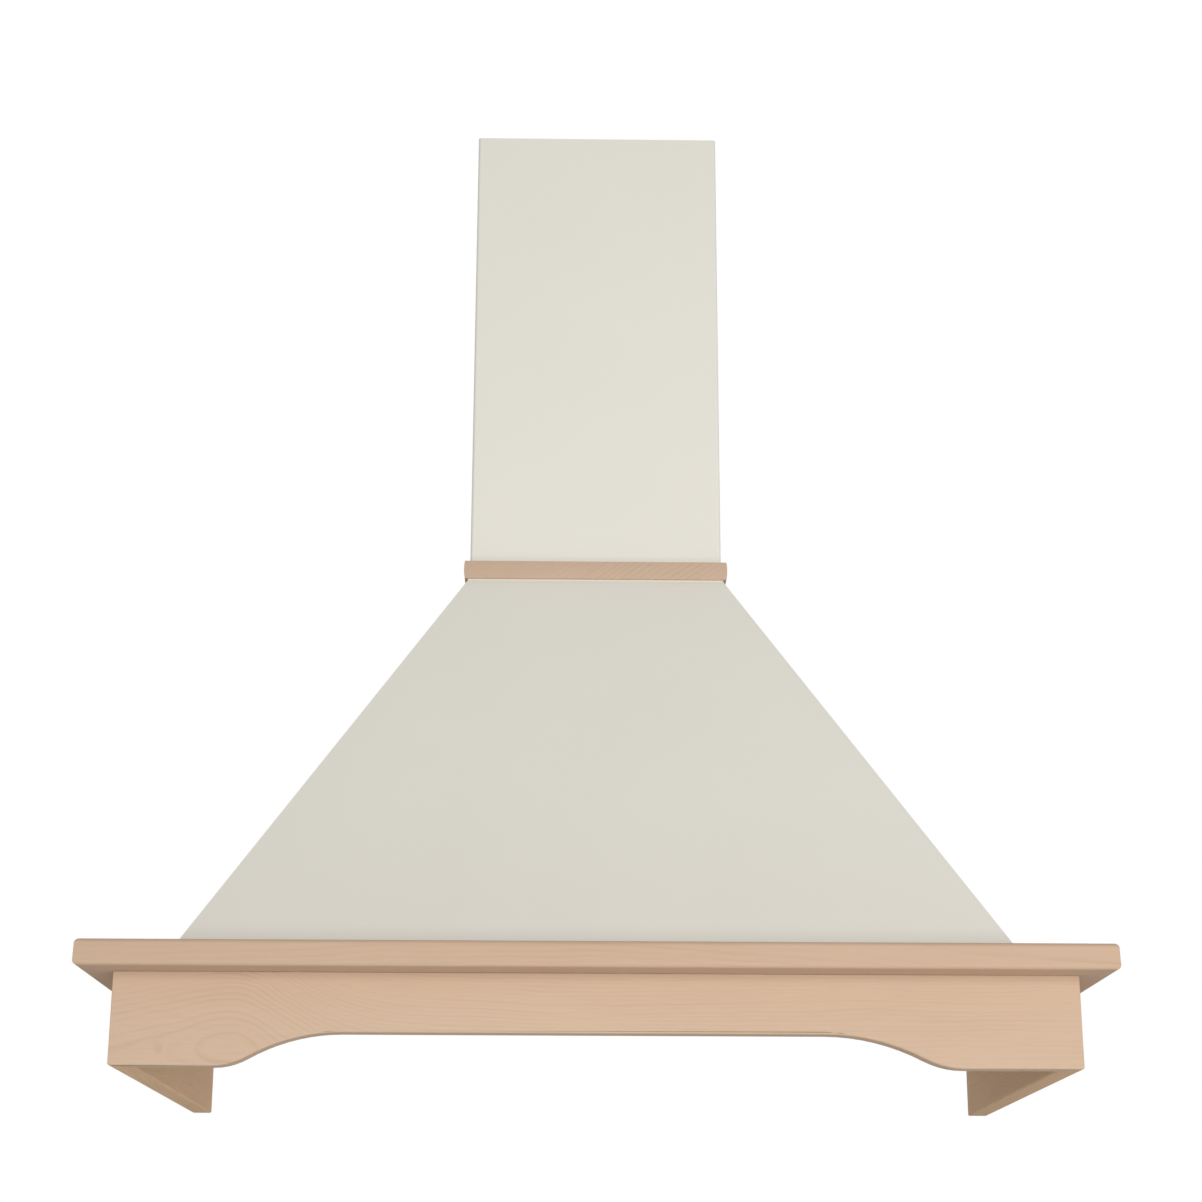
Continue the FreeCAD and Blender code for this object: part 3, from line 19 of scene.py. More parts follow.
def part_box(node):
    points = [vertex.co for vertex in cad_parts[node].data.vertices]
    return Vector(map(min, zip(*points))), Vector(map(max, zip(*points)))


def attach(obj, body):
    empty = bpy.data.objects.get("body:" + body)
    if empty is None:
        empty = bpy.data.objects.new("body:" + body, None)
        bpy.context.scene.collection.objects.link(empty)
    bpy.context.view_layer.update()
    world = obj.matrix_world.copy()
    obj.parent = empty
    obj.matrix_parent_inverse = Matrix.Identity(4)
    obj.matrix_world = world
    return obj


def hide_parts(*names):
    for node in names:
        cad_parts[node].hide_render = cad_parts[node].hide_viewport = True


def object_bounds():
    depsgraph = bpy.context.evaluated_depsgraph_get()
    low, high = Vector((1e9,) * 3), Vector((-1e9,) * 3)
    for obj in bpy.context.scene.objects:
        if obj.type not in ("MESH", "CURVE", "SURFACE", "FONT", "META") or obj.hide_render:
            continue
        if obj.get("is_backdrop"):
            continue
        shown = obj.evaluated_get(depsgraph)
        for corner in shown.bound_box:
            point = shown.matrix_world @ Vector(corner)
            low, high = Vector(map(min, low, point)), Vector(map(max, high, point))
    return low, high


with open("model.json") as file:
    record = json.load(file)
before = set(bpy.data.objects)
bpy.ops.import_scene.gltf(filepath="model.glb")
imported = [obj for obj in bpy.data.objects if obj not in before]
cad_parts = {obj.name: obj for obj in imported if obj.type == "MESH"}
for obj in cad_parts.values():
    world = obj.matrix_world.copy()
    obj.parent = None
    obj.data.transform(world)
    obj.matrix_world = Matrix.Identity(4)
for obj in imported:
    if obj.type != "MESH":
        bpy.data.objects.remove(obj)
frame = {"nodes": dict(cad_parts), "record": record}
SOLIDS_LOW, SOLIDS_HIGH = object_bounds()
HOOD_MIDDLE = (SOLIDS_LOW + SOLIDS_HIGH) / 2
MM = 0.001
scene = bpy.context.scene
print("hood, wide, deep and high:", [round(v, 3) for v in SOLIDS_HIGH - SOLIDS_LOW], "m")

# %% [markdown]
# The camera stands low in front of the hood and looks up at it, a little left of the middle.
# It could be placed by eye, but a hood is all long straight edges, so a wrong angle shows at once.
# Its place and its long lens were worked out from where those edges run.
# The angles turn the camera as a tripod head does: swing to the side, tilt up, then level.

# %% Camera
CAMERA_PLACE = Vector((-0.029356, -2.507396, -0.470813))
CAMERA_SWING = math.radians(0.887)
CAMERA_TILT = math.radians(17.223)
CAMERA_LEVEL = math.radians(0.154)

camera_data = bpy.data.cameras.new("camera")
camera_data.sensor_width = 36.0
camera_data.lens = 69.33
camera = bpy.data.objects.new("camera", camera_data)
camera.matrix_world = (
    Matrix.Translation(CAMERA_PLACE)
    @ Matrix.Rotation(-CAMERA_SWING, 4, "Z")
    @ Matrix.Rotation(math.pi / 2 + CAMERA_TILT, 4, "X")
    @ Matrix.Rotation(CAMERA_LEVEL, 4, "Z")
)
scene.collection.objects.link(camera)
scene.camera = camera
print("camera", round((HOOD_MIDDLE - CAMERA_PLACE).length, 2), "m from the middle of the hood")

# %% [markdown]
# Materials and the world are trees of nodes. These helpers add a node, join two sockets,
# and mix two colours, so that a tree below reads like a recipe.

# %% Helpers for node trees
def add_node(tree, kind, x, y, **settings):
    """A new node at a place in the tree, with its settings."""
    made = tree.nodes.new(kind)
    made.location = (x, y)
    for name, value in settings.items():
        setattr(made, name, value)
    return made


def feed(tree, target, value):
    """Put a socket's output or a plain value into a socket."""
    if isinstance(value, bpy.types.NodeSocket):
        tree.links.new(value, target)
    else:
        target.default_value = value


def calc(tree, operation, x, y, first, second=None):
    """One sum: the output of a math node fed by sockets or numbers."""
    made = add_node(tree, "ShaderNodeMath", x, y, operation=operation)
    feed(tree, made.inputs[0], first)
    if second is not None:
        feed(tree, made.inputs[1], second)
    return made.outputs[0]


def stretch(tree, x, y, value, low, high):
    """A value from 0 to 1, stretched to run from low to high."""
    made = add_node(tree, "ShaderNodeMapRange", x, y)
    feed(tree, made.inputs["Value"], value)
    made.inputs["To Min"].default_value = low
    made.inputs["To Max"].default_value = high
    return made.outputs[0]


def blend(tree, x, y, factor, first, second):
    """Two colours mixed by a factor."""
    made = add_node(tree, "ShaderNodeMix", x, y, data_type="RGBA")
    for name, value in (("Factor", factor), ("A", first), ("B", second)):
        feed(tree, next(s for s in made.inputs if s.name == name and s.enabled), value)
    return next(s for s in made.outputs if s.enabled)


def noise(tree, x, y, place, scale, detail=2.0, roughness=0.5, seed=0.0):
    """Soft noise with so many blotches to the metre."""
    made = add_node(tree, "ShaderNodeTexNoise", x, y, noise_dimensions="4D")
    feed(tree, made.inputs["Vector"], place)
    feed(tree, made.inputs["W"], seed)
    made.inputs["Scale"].default_value = scale
    made.inputs["Detail"].default_value = detail
    made.inputs["Roughness"].default_value = roughness
    return made.outputs["Fac"]


def squeeze(tree, x, y, place, scale):
    """Object places scaled by axis, which draws a pattern out the other way."""
    made = add_node(tree, "ShaderNodeMapping", x, y)
    feed(tree, made.inputs["Vector"], place)
    made.inputs["Scale"].default_value = scale
    return made.outputs[0]


# %% [markdown]
# A product photograph like this is taken in a white studio. The background has to be pure white,
# but a world that bright would wash the hood out. So the world shows white to the camera, in
# reflections and through glass, and lights the hood at a lower level.
# The main lamp is large, to the right and level with the hood's foot: the photograph shows almost
# no shadow on the apron under the cornice, so the light can't come from above. A weaker one on the
# left fills in, and a faint one below stands in for what a white floor throws back up.
# All three were matched to the tones of the panels in the photograph.

# %% World and lamps
scene.view_settings.view_transform = "Standard"
SURROUND_LEVEL = 0.40


def build_world():
    world = bpy.data.worlds.new("white_studio")
    world.use_nodes = True
    tree = world.node_tree
    tree.nodes.clear()
    path = add_node(tree, "ShaderNodeLightPath", -600, 0)
    either = calc(tree, "MAXIMUM", -400, 0, path.outputs["Is Camera Ray"], path.outputs["Is Glossy Ray"])
    seen = calc(tree, "MAXIMUM", -200, 0, either, path.outputs["Is Transmission Ray"])
    background = add_node(tree, "ShaderNodeBackground", 200, 0)
    background.inputs["Color"].default_value = (1, 1, 1, 1)
    feed(tree, background.inputs["Strength"], stretch(tree, 0, 0, seen, SURROUND_LEVEL, 1.0))
    output = add_node(tree, "ShaderNodeOutputWorld", 400, 0)
    tree.links.new(background.outputs[0], output.inputs["Surface"])
    scene.world = world


def soft_lamp(name, place, size, watts):
    """A square softbox that faces the middle of the hood."""
    data = bpy.data.lights.new(name, "AREA")
    data.size = size
    data.energy = watts
    lamp = bpy.data.objects.new(name, data)
    lamp.location = place
    lamp.rotation_euler = (HOOD_MIDDLE - Vector(place)).to_track_quat("-Z", "Y").to_euler()
    scene.collection.objects.link(lamp)


build_world()
soft_lamp("key", (1.6, -3.6, -0.25), 1.8, 64)
soft_lamp("fill", (-1.2, -3.6, -0.25), 1.8, 19)
soft_lamp("bounce", (0.1, -1.3, -1.9), 1.6, 14)

# %% [markdown]
# The floor lies as far below the hood as a kitchen floor does, and catches its faint shadow.
# A plain plane would hide the underside when the camera looks up from below it, so the plane's back
# face lets the view through. Geometry's Backfacing tells a shader which side it is seen from.

# %% Floor
FLOOR_BELOW_HOOD = 1.55
FLOOR_SIZE = 12.0


def build_floor():
    bm = bmesh.new()
    bmesh.ops.create_grid(bm, x_segments=1, y_segments=1, size=FLOOR_SIZE / 2)
    bmesh.ops.translate(bm, verts=bm.verts, vec=(0, 0, SOLIDS_LOW.z - FLOOR_BELOW_HOOD))
    mesh = bpy.data.meshes.new("floor")
    bm.to_mesh(mesh)
    bm.free()
    material = bpy.data.materials.new("pale_floor")
    material.use_nodes = True
    tree = material.node_tree
    tree.nodes.clear()
    paint = add_node(tree, "ShaderNodeBsdfDiffuse", 0, 0)
    paint.inputs["Color"].default_value = (0.80, 0.80, 0.79, 1)
    clear = add_node(tree, "ShaderNodeBsdfTransparent", 0, -150)
    side = add_node(tree, "ShaderNodeNewGeometry", -200, 200)
    either = add_node(tree, "ShaderNodeMixShader", 200, 0)
    output = add_node(tree, "ShaderNodeOutputMaterial", 400, 0)
    tree.links.new(side.outputs["Backfacing"], either.inputs["Fac"])
    tree.links.new(paint.outputs[0], either.inputs[1])
    tree.links.new(clear.outputs[0], either.inputs[2])
    tree.links.new(either.outputs[0], output.inputs["Surface"])
    mesh.materials.append(material)
    floor = bpy.data.objects.new("floor", mesh)
    scene.collection.objects.link(floor)
    floor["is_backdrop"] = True


build_floor()

# %% [markdown]
# ## Wood
# Wood grain could be faked with stretched noise, but this hood shows its grain in plain sight:
# closed eyes at the left foot of the apron, arches over them, then long lines that run straight.
# So the grain group models the real cause. Growth rings are distances from the pith of a log, and
# a board is a slice of it. Where the pith sinks away from the board on both sides of a peak, the
# rings open into arches, and where it also turns away behind the board they close into eyes.
# Noise bends the rings, a ramp draws each as a line that darkens slowly and stops short,
# and finer noise drawn out along the board makes the fibres.

# %% Wood grain group
def add_socket(group, name, kind, way="INPUT", value=None):
    made = group.interface.new_socket(name=name, in_out=way, socket_type="NodeSocket" + kind)
    if value is not None:
        made.default_value = value


GRAIN_NUMBERS = {
    "Peak": 0.0, "Peak Fall": 0.1, "Peak Length": 0.2, "Pith Up": 0.0, "Pith Depth": 0.03,
    "Eye Swell": 0.0, "Eye Length": 0.08, "Ring Width": 0.011, "Waviness": 0.006, "Seed": 0.0,
    "Knot Along": 0.0, "Knot Up": 9.0, "Knot Size": 0.006, "Knot Lift": 0.0,
}
RING_TIGHTENING = 1.4
SLOW_SIDE = -0.4
QUICK_SHARE = 0.3
MEAN_WOBBLE = 0.65
KNOT_CORE = 6.0


def wood_grain_group():
    group = bpy.data.node_groups.new("wood_grain", "ShaderNodeTree")
    add_socket(group, "Vector", "Vector")
    for name, value in GRAIN_NUMBERS.items():
        add_socket(group, name, "Float", value=value)
    for name in ("Lines", "Tone", "Fibre"):
        add_socket(group, name, "Float", "OUTPUT")
    given = add_node(group, "NodeGroupInput", -1800, 0).outputs
    out = add_node(group, "NodeGroupOutput", 1600, 0)
    split = add_node(group, "ShaderNodeSeparateXYZ", -1500, 200)
    group.links.new(given["Vector"], split.inputs[0])
    along, up, deep = split.outputs

    # the whole log wobbles slowly, and each ring a little more quickly; less their mean, the two
    # bend the rings as often in as out
    slow = noise(group, -1200, -200, squeeze(group, -1400, -200, given["Vector"], (6, 24, 24)),
                 1.0, 1.0, seed=given["Seed"])
    quick = noise(group, -1200, -400, squeeze(group, -1400, -400, given["Vector"], (24, 60, 60)),
                  1.0, 2.0, seed=given["Seed"])
    both = calc(group, "ADD", -900, -300, slow,
                calc(group, "MULTIPLY", -1050, -400, quick, QUICK_SHARE))
    bend = calc(group, "MULTIPLY", -600, -300,
                calc(group, "SUBTRACT", -750, -300, both, MEAN_WOBBLE), given["Waviness"])

    # the arches are short on one side of the peak and drawn out on the other
    from_peak = calc(group, "SUBTRACT", -1450, 400, along, given["Peak"])
    down_arch = calc(group, "MAXIMUM", -1300, 400, from_peak,
                     calc(group, "MULTIPLY", -1375, 500, from_peak, SLOW_SIDE))

    def dip(away, length, y):
        """0 at the peak, 1 far from it on both sides."""
        share = calc(group, "DIVIDE", -1150, y, away, length)
        square = calc(group, "MULTIPLY", -1000, y, share, share)
        bell = calc(group, "EXPONENT", -700, y, calc(group, "MULTIPLY", -850, y, square, -1.0))
        return calc(group, "SUBTRACT", -550, y, 1.0, bell)

    fall = calc(group, "MULTIPLY", -400, 500, dip(down_arch, given["Peak Length"], 500),
                given["Peak Fall"])
    past_eye = dip(from_peak, given["Eye Length"], 300)
    swell = calc(group, "MULTIPLY", -400, 300, past_eye, given["Eye Swell"])
    level = calc(group, "SUBTRACT", -250, 500, given["Pith Up"], fall)
    height = calc(group, "SUBTRACT", -100, 500, up, level)
    depth = calc(group, "ADD", -100, 300, calc(group, "ADD", -250, 300, given["Pith Depth"], swell), deep)
    square = calc(group, "ADD", 200, 400, calc(group, "MULTIPLY", 50, 500, height, height),
                  calc(group, "MULTIPLY", 50, 300, depth, depth))
    radius = calc(group, "ADD", 450, 400, calc(group, "SQRT", 350, 400, square), bend)

    # a branch that started here pushes the rings out into a small knot
    knot_along = calc(group, "SUBTRACT", -300, -800, along, given["Knot Along"])
    knot_up = calc(group, "SUBTRACT", -300, -950, up, given["Knot Up"])
    knot_square = calc(group, "ADD", 0, -850, calc(group, "MULTIPLY", -150, -800, knot_along, knot_along),
                       calc(group, "MULTIPLY", -150, -950, knot_up, knot_up))
    knot_size = calc(group, "MULTIPLY", 0, -1000, given["Knot Size"], given["Knot Size"])
    knot = calc(group, "EXPONENT", 300, -850, calc(group, "DIVIDE", 150, -850, knot_square,
                                                   calc(group, "MULTIPLY", 0, -1100, knot_size, -1.0)))
    lifted = calc(group, "ADD", 550, 400, radius,
                  calc(group, "MULTIPLY", 450, -850, knot, given["Knot Lift"]))

    # an old tree grows more slowly, so the rings get closer away from the pith
    rings = calc(group, "POWER", 700, 400, calc(group, "DIVIDE", 650, 400, lifted, given["Ring Width"]),
                 RING_TIGHTENING)
    profile = add_node(group, "ShaderNodeValToRGB", 950, 500)
    ramp = profile.color_ramp
    for element, place in zip(ramp.elements, (0.0, 1.0)):
        element.position = place
        element.color = (0.45, 0.45, 0.45, 1)
    for place, value in ((0.14, 0.0), (0.55, 0.10), (0.90, 1.0)):
        ramp.elements.new(place).color = (value, value, value, 1)
    group.links.new(calc(group, "FRACT", 800, 500, rings), profile.inputs["Fac"])

    # no two years are alike: each ring has its own strength, and it fades in and out along the board
    year = add_node(group, "ShaderNodeTexWhiteNoise", 950, 200, noise_dimensions="1D")
    group.links.new(calc(group, "FLOOR", 800, 200, rings), year.inputs["W"])
    fade = noise(group, 950, 0, squeeze(group, 750, 0, given["Vector"], (9, 50, 50)), 1.0, 1.0,
                 seed=given["Seed"])
    weight = calc(group, "MULTIPLY", 1200, 100, stretch(group, 1100, 200, year.outputs["Value"], 0.2, 1.3),
                  stretch(group, 1100, 0, fade, -0.6, 2.4))
    near_eye = calc(group, "MULTIPLY", 1250, 250, weight, stretch(group, 1100, 350, past_eye, 1.7, 0.8))
    lines = calc(group, "MULTIPLY", 1350, 400, profile.outputs["Color"],
                 calc(group, "MAXIMUM", 1300, 250, near_eye, 0.0))
    group.links.new(calc(group, "ADD", 1450, 400, lines,
                         calc(group, "POWER", 1350, -700, knot, KNOT_CORE)), out.inputs["Lines"])

    group.links.new(noise(group, 1200, -300, squeeze(group, 1000, -300, given["Vector"], (3, 18, 18)),
                          1.0, 3.0, seed=given["Seed"]), out.inputs["Tone"])
    group.links.new(noise(group, 1200, -600, squeeze(group, 1000, -600, given["Vector"], (40, 900, 900)),
                          1.0, 3.0, 0.6, given["Seed"]), out.inputs["Fibre"])
    return group


WOOD_GRAIN = wood_grain_group()
print("wood grain group:", len(WOOD_GRAIN.nodes), "nodes")

# %% [markdown]
# Every board is cut from its own place in the log, so every board gets its own copy of the wood with
# its own numbers. The group wants the way along the board first, then up, then into the log,
# so the order of the axes is swapped for the side boards, whose grain runs front to back.
# Of the numbers, the peak is the place along the board where the rings stand highest, and the pith
# lies up and deep from the origin. All are in metres.
# The wood is sanded and unfinished: nearly matt, with a fine tooth of fibres as bump.

# %% Wood materials
PALE_WOOD = (0.628, 0.464, 0.334, 1)
DARK_WOOD = (0.430, 0.262, 0.160, 1)
CORNICE_WOOD = (0.582, 0.418, 0.294, 1)
SIDE_WOOD = (0.715, 0.468, 0.272, 1)
# painted light: the left apron board gets a lighter copy of the side wood, because its inner face is lit
# from the right
LEFT_SIDE_WOOD_PAINTED_LIT = (0.800, 0.530, 0.305, 1)
COLLAR_WOOD = (0.590, 0.435, 0.321, 1)
PALE_PINE = (0.720, 0.520, 0.320, 1)
DARK_PINE = (0.480, 0.280, 0.140, 1)


def new_material(name):
    """An empty material with a Principled shader."""
    material = bpy.data.materials.new(name)
    material.use_nodes = True
    tree = material.node_tree
    tree.nodes.clear()
    shader = add_node(tree, "ShaderNodeBsdfPrincipled", 900, 0)
    output = add_node(tree, "ShaderNodeOutputMaterial", 1200, 0)
    tree.links.new(shader.outputs[0], output.inputs["Surface"])
    place = add_node(tree, "ShaderNodeTexCoord", -1400, 0).outputs["Object"]
    return material, tree, shader, place


def add_bump(tree, shader, height, distance, strength=1.0):
    """Small relief: height 1 stands that many metres proud."""
    bump = add_node(tree, "ShaderNodeBump", 650, -500)
    bump.inputs["Distance"].default_value = distance
    bump.inputs["Strength"].default_value = strength
    feed(tree, bump.inputs["Height"], height)
    tree.links.new(bump.outputs[0], shader.inputs["Normal"])


def wood(name, axes="XZY", lean=0.0, colours=(PALE_WOOD, DARK_WOOD), line=0.20, **numbers):
    """Raw sanded wood. axes names the ways along, up and deep; lean tilts the grain in degrees."""
    material, tree, shader, place = new_material(name)
    pale, dark = colours
    turn = add_node(tree, "ShaderNodeMapping", -1200, 0)
    turn.inputs["Rotation"].default_value = (0, math.radians(lean), 0)
    split = add_node(tree, "ShaderNodeSeparateXYZ", -1000, 0)
    order = add_node(tree, "ShaderNodeCombineXYZ", -800, 0)
    grain = add_node(tree, "ShaderNodeGroup", -550, 0, node_tree=WOOD_GRAIN)
    feed(tree, turn.inputs["Vector"], place)
    feed(tree, split.inputs[0], turn.outputs[0])
    for target, source in zip(order.inputs, axes):
        feed(tree, target, split.outputs[source])
    feed(tree, grain.inputs["Vector"], order.outputs[0])
    for key, value in numbers.items():
        grain.inputs[key.replace("_", " ").title()].default_value = value
    toned = blend(tree, -50, 300, stretch(tree, -250, 300, grain.outputs["Tone"], -0.35, 1.35),
                  pale, tuple((p + d) / 2 for p, d in zip(pale, dark)))
    toned = blend(tree, 150, 300, 0.55, toned, pale)
    lined = blend(tree, 350, 300, stretch(tree, 150, 100, grain.outputs["Lines"], 0.0, line), toned, dark)
    fibred = blend(tree, 550, 300, stretch(tree, 350, 100, grain.outputs["Fibre"], -0.45, 0.65), lined, dark)
    final = blend(tree, 720, 300, 0.35, lined, fibred)
    feed(tree, shader.inputs["Base Color"], final)
    feed(tree, shader.inputs["Roughness"], stretch(tree, 550, -100, grain.outputs["Fibre"], 0.55, 0.75))
    shader.inputs["Specular IOR Level"].default_value = 0.30
    add_bump(tree, shader, grain.outputs["Fibre"], 0.06 * MM, 0.6)
    return material


apron_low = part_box("apron_front")[0]
EYE_X = -0.318
EYE_Z = apron_low.z + 0.016

wood_of = {
    "apron_front": wood("apron_front_wood", peak=EYE_X, peak_fall=0.055, peak_length=0.080,
                        pith_up=EYE_Z, pith_depth=-apron_low.y + 0.004, eye_swell=0.017,
                        eye_length=0.030, ring_width=0.0115, waviness=0.012, seed=1.7,
                        knot_along=EYE_X - 0.060, knot_up=EYE_Z - 0.002, knot_size=0.007,
                        knot_lift=0.005),
    # the lighter side wood of the left apron board is painted light, not a paler board
    "apron_left": wood("apron_left_wood", "YZX", colours=(LEFT_SIDE_WOOD_PAINTED_LIT, DARK_WOOD), peak=-0.1,
                       peak_fall=0.05, peak_length=0.5, pith_up=apron_low.z - 0.08, pith_depth=0.36,
                       ring_width=0.0125, waviness=0.02, seed=4.1),
    "apron_right": wood("apron_right_wood", "YZX", colours=(SIDE_WOOD, DARK_WOOD), peak=-0.2,
                        peak_fall=0.04, peak_length=0.4, pith_up=apron_low.z + 0.12,
                        pith_depth=-0.46, ring_width=0.0125, waviness=0.02, seed=8.3),
    "cornice_front": wood("cornice_front_wood", colours=(CORNICE_WOOD, DARK_WOOD), peak=-0.02,
                          peak_fall=0.045, peak_length=0.42, pith_up=-0.13, pith_depth=0.545,
                          ring_width=0.0110, waviness=0.010, seed=2.6, knot_along=-0.274,
                          knot_up=-0.171, knot_size=0.003, knot_lift=0.006),
    "cornice_left": wood("cornice_left_wood", "YZX", colours=(CORNICE_WOOD, DARK_WOOD), peak=-0.3,
                         peak_fall=0.05, peak_length=0.5, pith_up=-0.22, pith_depth=0.42,
                         ring_width=0.0120, waviness=0.015, seed=5.2),
    "cornice_right": wood("cornice_right_wood", "YZX", colours=(CORNICE_WOOD, DARK_WOOD), peak=-0.1,
                          peak_fall=0.05, peak_length=0.5, pith_up=-0.10, pith_depth=-0.40,
                          ring_width=0.0120, waviness=0.015, seed=6.9),
    "collar": wood("collar_wood", lean=35, colours=(COLLAR_WOOD, DARK_WOOD), peak=0.2,
                   peak_fall=0.02, peak_length=0.2, pith_up=0.09, pith_depth=0.24,
                   ring_width=0.0150, waviness=0.02, seed=9.4),
    "frame_wood": wood("frame_wood", colours=(PALE_PINE, DARK_PINE), line=0.6, peak=0.0,
                       peak_fall=0.03, peak_length=0.4, pith_up=-0.24, pith_depth=0.2,
                       ring_width=0.0130, waviness=0.012, seed=3.3),
    "battens": wood("batten_wood", "YZX", colours=(PALE_PINE, DARK_PINE), line=0.6, peak=-0.2,
                    peak_fall=0.03, peak_length=0.4, pith_up=-0.24, pith_depth=0.2,
                    ring_width=0.0130, waviness=0.012, seed=7.7),
}
print("woods:", len(wood_of))

# %% [markdown]
# ## Paint, metal and plastic
# A powder coat isn't perfectly flat: the powder melts into a skin with gentle dimples, orange peel.
# Its colour is even, with only the faintest clouding. Bump from a fine noise does the dimples,
# and the group also hands out a clouding mask that every painted or moulded part can use.

# %% Surface skin group
def surface_skin_group():
    group = bpy.data.node_groups.new("surface_skin", "ShaderNodeTree")
    add_socket(group, "Vector", "Vector")
    for name, value in (("Grit", 800.0), ("Cloud", 9.0), ("Dust", 60.0)):
        add_socket(group, name, "Float", value=value)
    for name in ("Relief", "Clouding", "Dust Mask"):
        add_socket(group, name, "Float", "OUTPUT")
    given = add_node(group, "NodeGroupInput", -600, 0).outputs
    out = add_node(group, "NodeGroupOutput", 600, 0)
    place = given["Vector"]
    relief = add_node(group, "ShaderNodeTexNoise", -200, 300)
    relief.inputs["Detail"].default_value = 1.0
    cloud = add_node(group, "ShaderNodeTexNoise", -200, 0)
    dust = add_node(group, "ShaderNodeTexNoise", -200, -300)
    dust.inputs["Detail"].default_value = 6.0
    for made, scale in ((relief, "Grit"), (cloud, "Cloud"), (dust, "Dust")):
        group.links.new(place, made.inputs["Vector"])
        group.links.new(given[scale], made.inputs["Scale"])
    group.links.new(relief.outputs["Fac"], out.inputs["Relief"])
    group.links.new(stretch(group, 200, 0, cloud.outputs["Fac"], -0.5, 1.5), out.inputs["Clouding"])
    speck = add_node(group, "ShaderNodeMapRange", 200, -300)
    speck.inputs["From Min"].default_value = 0.58
    speck.inputs["From Max"].default_value = 0.80
    group.links.new(dust.outputs["Fac"], speck.inputs["Value"])
    group.links.new(speck.outputs[0], out.inputs["Dust Mask"])
    return group


SURFACE_SKIN = surface_skin_group()


def skin_material(name, colour, roughness, relief, grit=800.0, metal=0.0, shade=0.95, spread=0.06):
    """Paint, plastic or cast metal: one colour, a clouded tone, and a fine relief."""
    material, tree, shader, place = new_material(name)
    skin = add_node(tree, "ShaderNodeGroup", -700, 0, node_tree=SURFACE_SKIN)
    skin.inputs["Grit"].default_value = grit
    feed(tree, skin.inputs["Vector"], place)
    darker = (*(shade * c for c in colour), 1)
    feed(tree, shader.inputs["Base Color"],
         blend(tree, 400, 300, skin.outputs["Clouding"], (*colour, 1), darker))
    feed(tree, shader.inputs["Roughness"],
         stretch(tree, 400, 0, skin.outputs["Clouding"], roughness - spread / 2, roughness + spread / 2))
    shader.inputs["Metallic"].default_value = metal
    add_bump(tree, shader, skin.outputs["Relief"], relief)
    return material


CREAM = (0.764, 0.739, 0.661)
cream_paint = skin_material("cream_powder_coat", CREAM, 0.42, 0.012 * MM, 700, shade=0.985)
pan_paint = skin_material("pan_powder_coat", CREAM, 0.38, 0.012 * MM, 700, shade=0.98)
black_plastic = skin_material("black_plastic", (0.030, 0.030, 0.033), 0.48, 0.05 * MM, 1800, shade=0.8)
housing_plastic = skin_material("cream_plastic", (0.640, 0.615, 0.545), 0.40, 0.03 * MM, 1600)
white_plastic = skin_material("white_plastic", (0.700, 0.700, 0.670), 0.42, 0.03 * MM, 1500)
button_plastic = skin_material("grey_plastic", (0.330, 0.330, 0.325), 0.28, 0.01 * MM, 1200)
motor_enamel = skin_material("motor_enamel", (0.070, 0.074, 0.080), 0.36, 0.03 * MM, 500, shade=0.75)
print("one skin group serves", SURFACE_SKIN.users, "materials")

# %% [markdown]
# Sheet steel is dipped in zinc, and as the zinc sets it grows into flat crystals, the spangle.
# Each crystal mirrors the room at its own angle, so each patch has its own tone and gloss.
# Voronoi cells with a random colour per cell are just that. Rolled metal such as aluminium and
# the plated screws gets fine lines drawn out one way instead.

# %% Metals
CRYSTALS_PER_METRE = 110.0
CRYSTAL_WARP = 6 * MM


def spangled_zinc(name, colour):
    material, tree, shader, place = new_material(name)
    warp = add_node(tree, "ShaderNodeTexNoise", -1100, -200)
    warp.inputs["Scale"].default_value = 60.0
    feed(tree, warp.inputs["Vector"], place)
    shifted = add_node(tree, "ShaderNodeVectorMath", -900, 0, operation="MULTIPLY_ADD")
    feed(tree, shifted.inputs[0], warp.outputs["Color"])
    shifted.inputs[1].default_value = (CRYSTAL_WARP,) * 3
    feed(tree, shifted.inputs[2], place)
    cells = add_node(tree, "ShaderNodeTexVoronoi", -700, 0)
    cells.inputs["Scale"].default_value = CRYSTALS_PER_METRE
    feed(tree, cells.inputs["Vector"], shifted.outputs[0])
    split = add_node(tree, "ShaderNodeSeparateColor", -500, 0)
    feed(tree, split.inputs[0], cells.outputs["Color"])
    dark = (*(0.74 * c for c in colour), 1)
    feed(tree, shader.inputs["Base Color"], blend(tree, 300, 200, split.outputs[0], (*colour, 1), dark))
    feed(tree, shader.inputs["Roughness"], stretch(tree, 300, 0, split.outputs[1], 0.30, 0.52))
    shader.inputs["Metallic"].default_value = 1.0
    add_bump(tree, shader, split.outputs[2], 0.01 * MM)
    return material


def drawn_metal(name, colour, roughness, lines=(30, 1200, 1200), metal=1.0):
    material, tree, shader, place = new_material(name)
    fine = noise(tree, -600, 0, squeeze(tree, -850, 0, place, lines), 1.0, 3.0, 0.6)
    broad = noise(tree, -600, -300, place, 25.0, 2.0)
    dark = (*(0.82 * c for c in colour), 1)
    feed(tree, shader.inputs["Base Color"], blend(tree, 300, 200, fine, (*colour, 1), dark))
    mixed_gloss = calc(tree, "MULTIPLY", 100, 0, fine, calc(tree, "ADD", -100, -200, broad, 0.5))
    feed(tree, shader.inputs["Roughness"],
         stretch(tree, 300, 0, mixed_gloss, roughness - 0.08, roughness + 0.12))
    shader.inputs["Metallic"].default_value = metal
    add_bump(tree, shader, fine, 0.01 * MM, 0.5)
    return material


zinc_sheet = spangled_zinc("spangled_zinc", (0.56, 0.58, 0.60))
satin_aluminium = drawn_metal("satin_aluminium", (0.74, 0.75, 0.76), 0.34)
mesh_aluminium = drawn_metal("mesh_aluminium", (0.70, 0.71, 0.72), 0.38, (400, 400, 400))
plated_steel = drawn_metal("plated_steel", (0.58, 0.57, 0.53), 0.30, (900, 900, 200))
satin_chrome = drawn_metal("satin_chrome", (0.72, 0.72, 0.73), 0.20, (1500, 1500, 40))

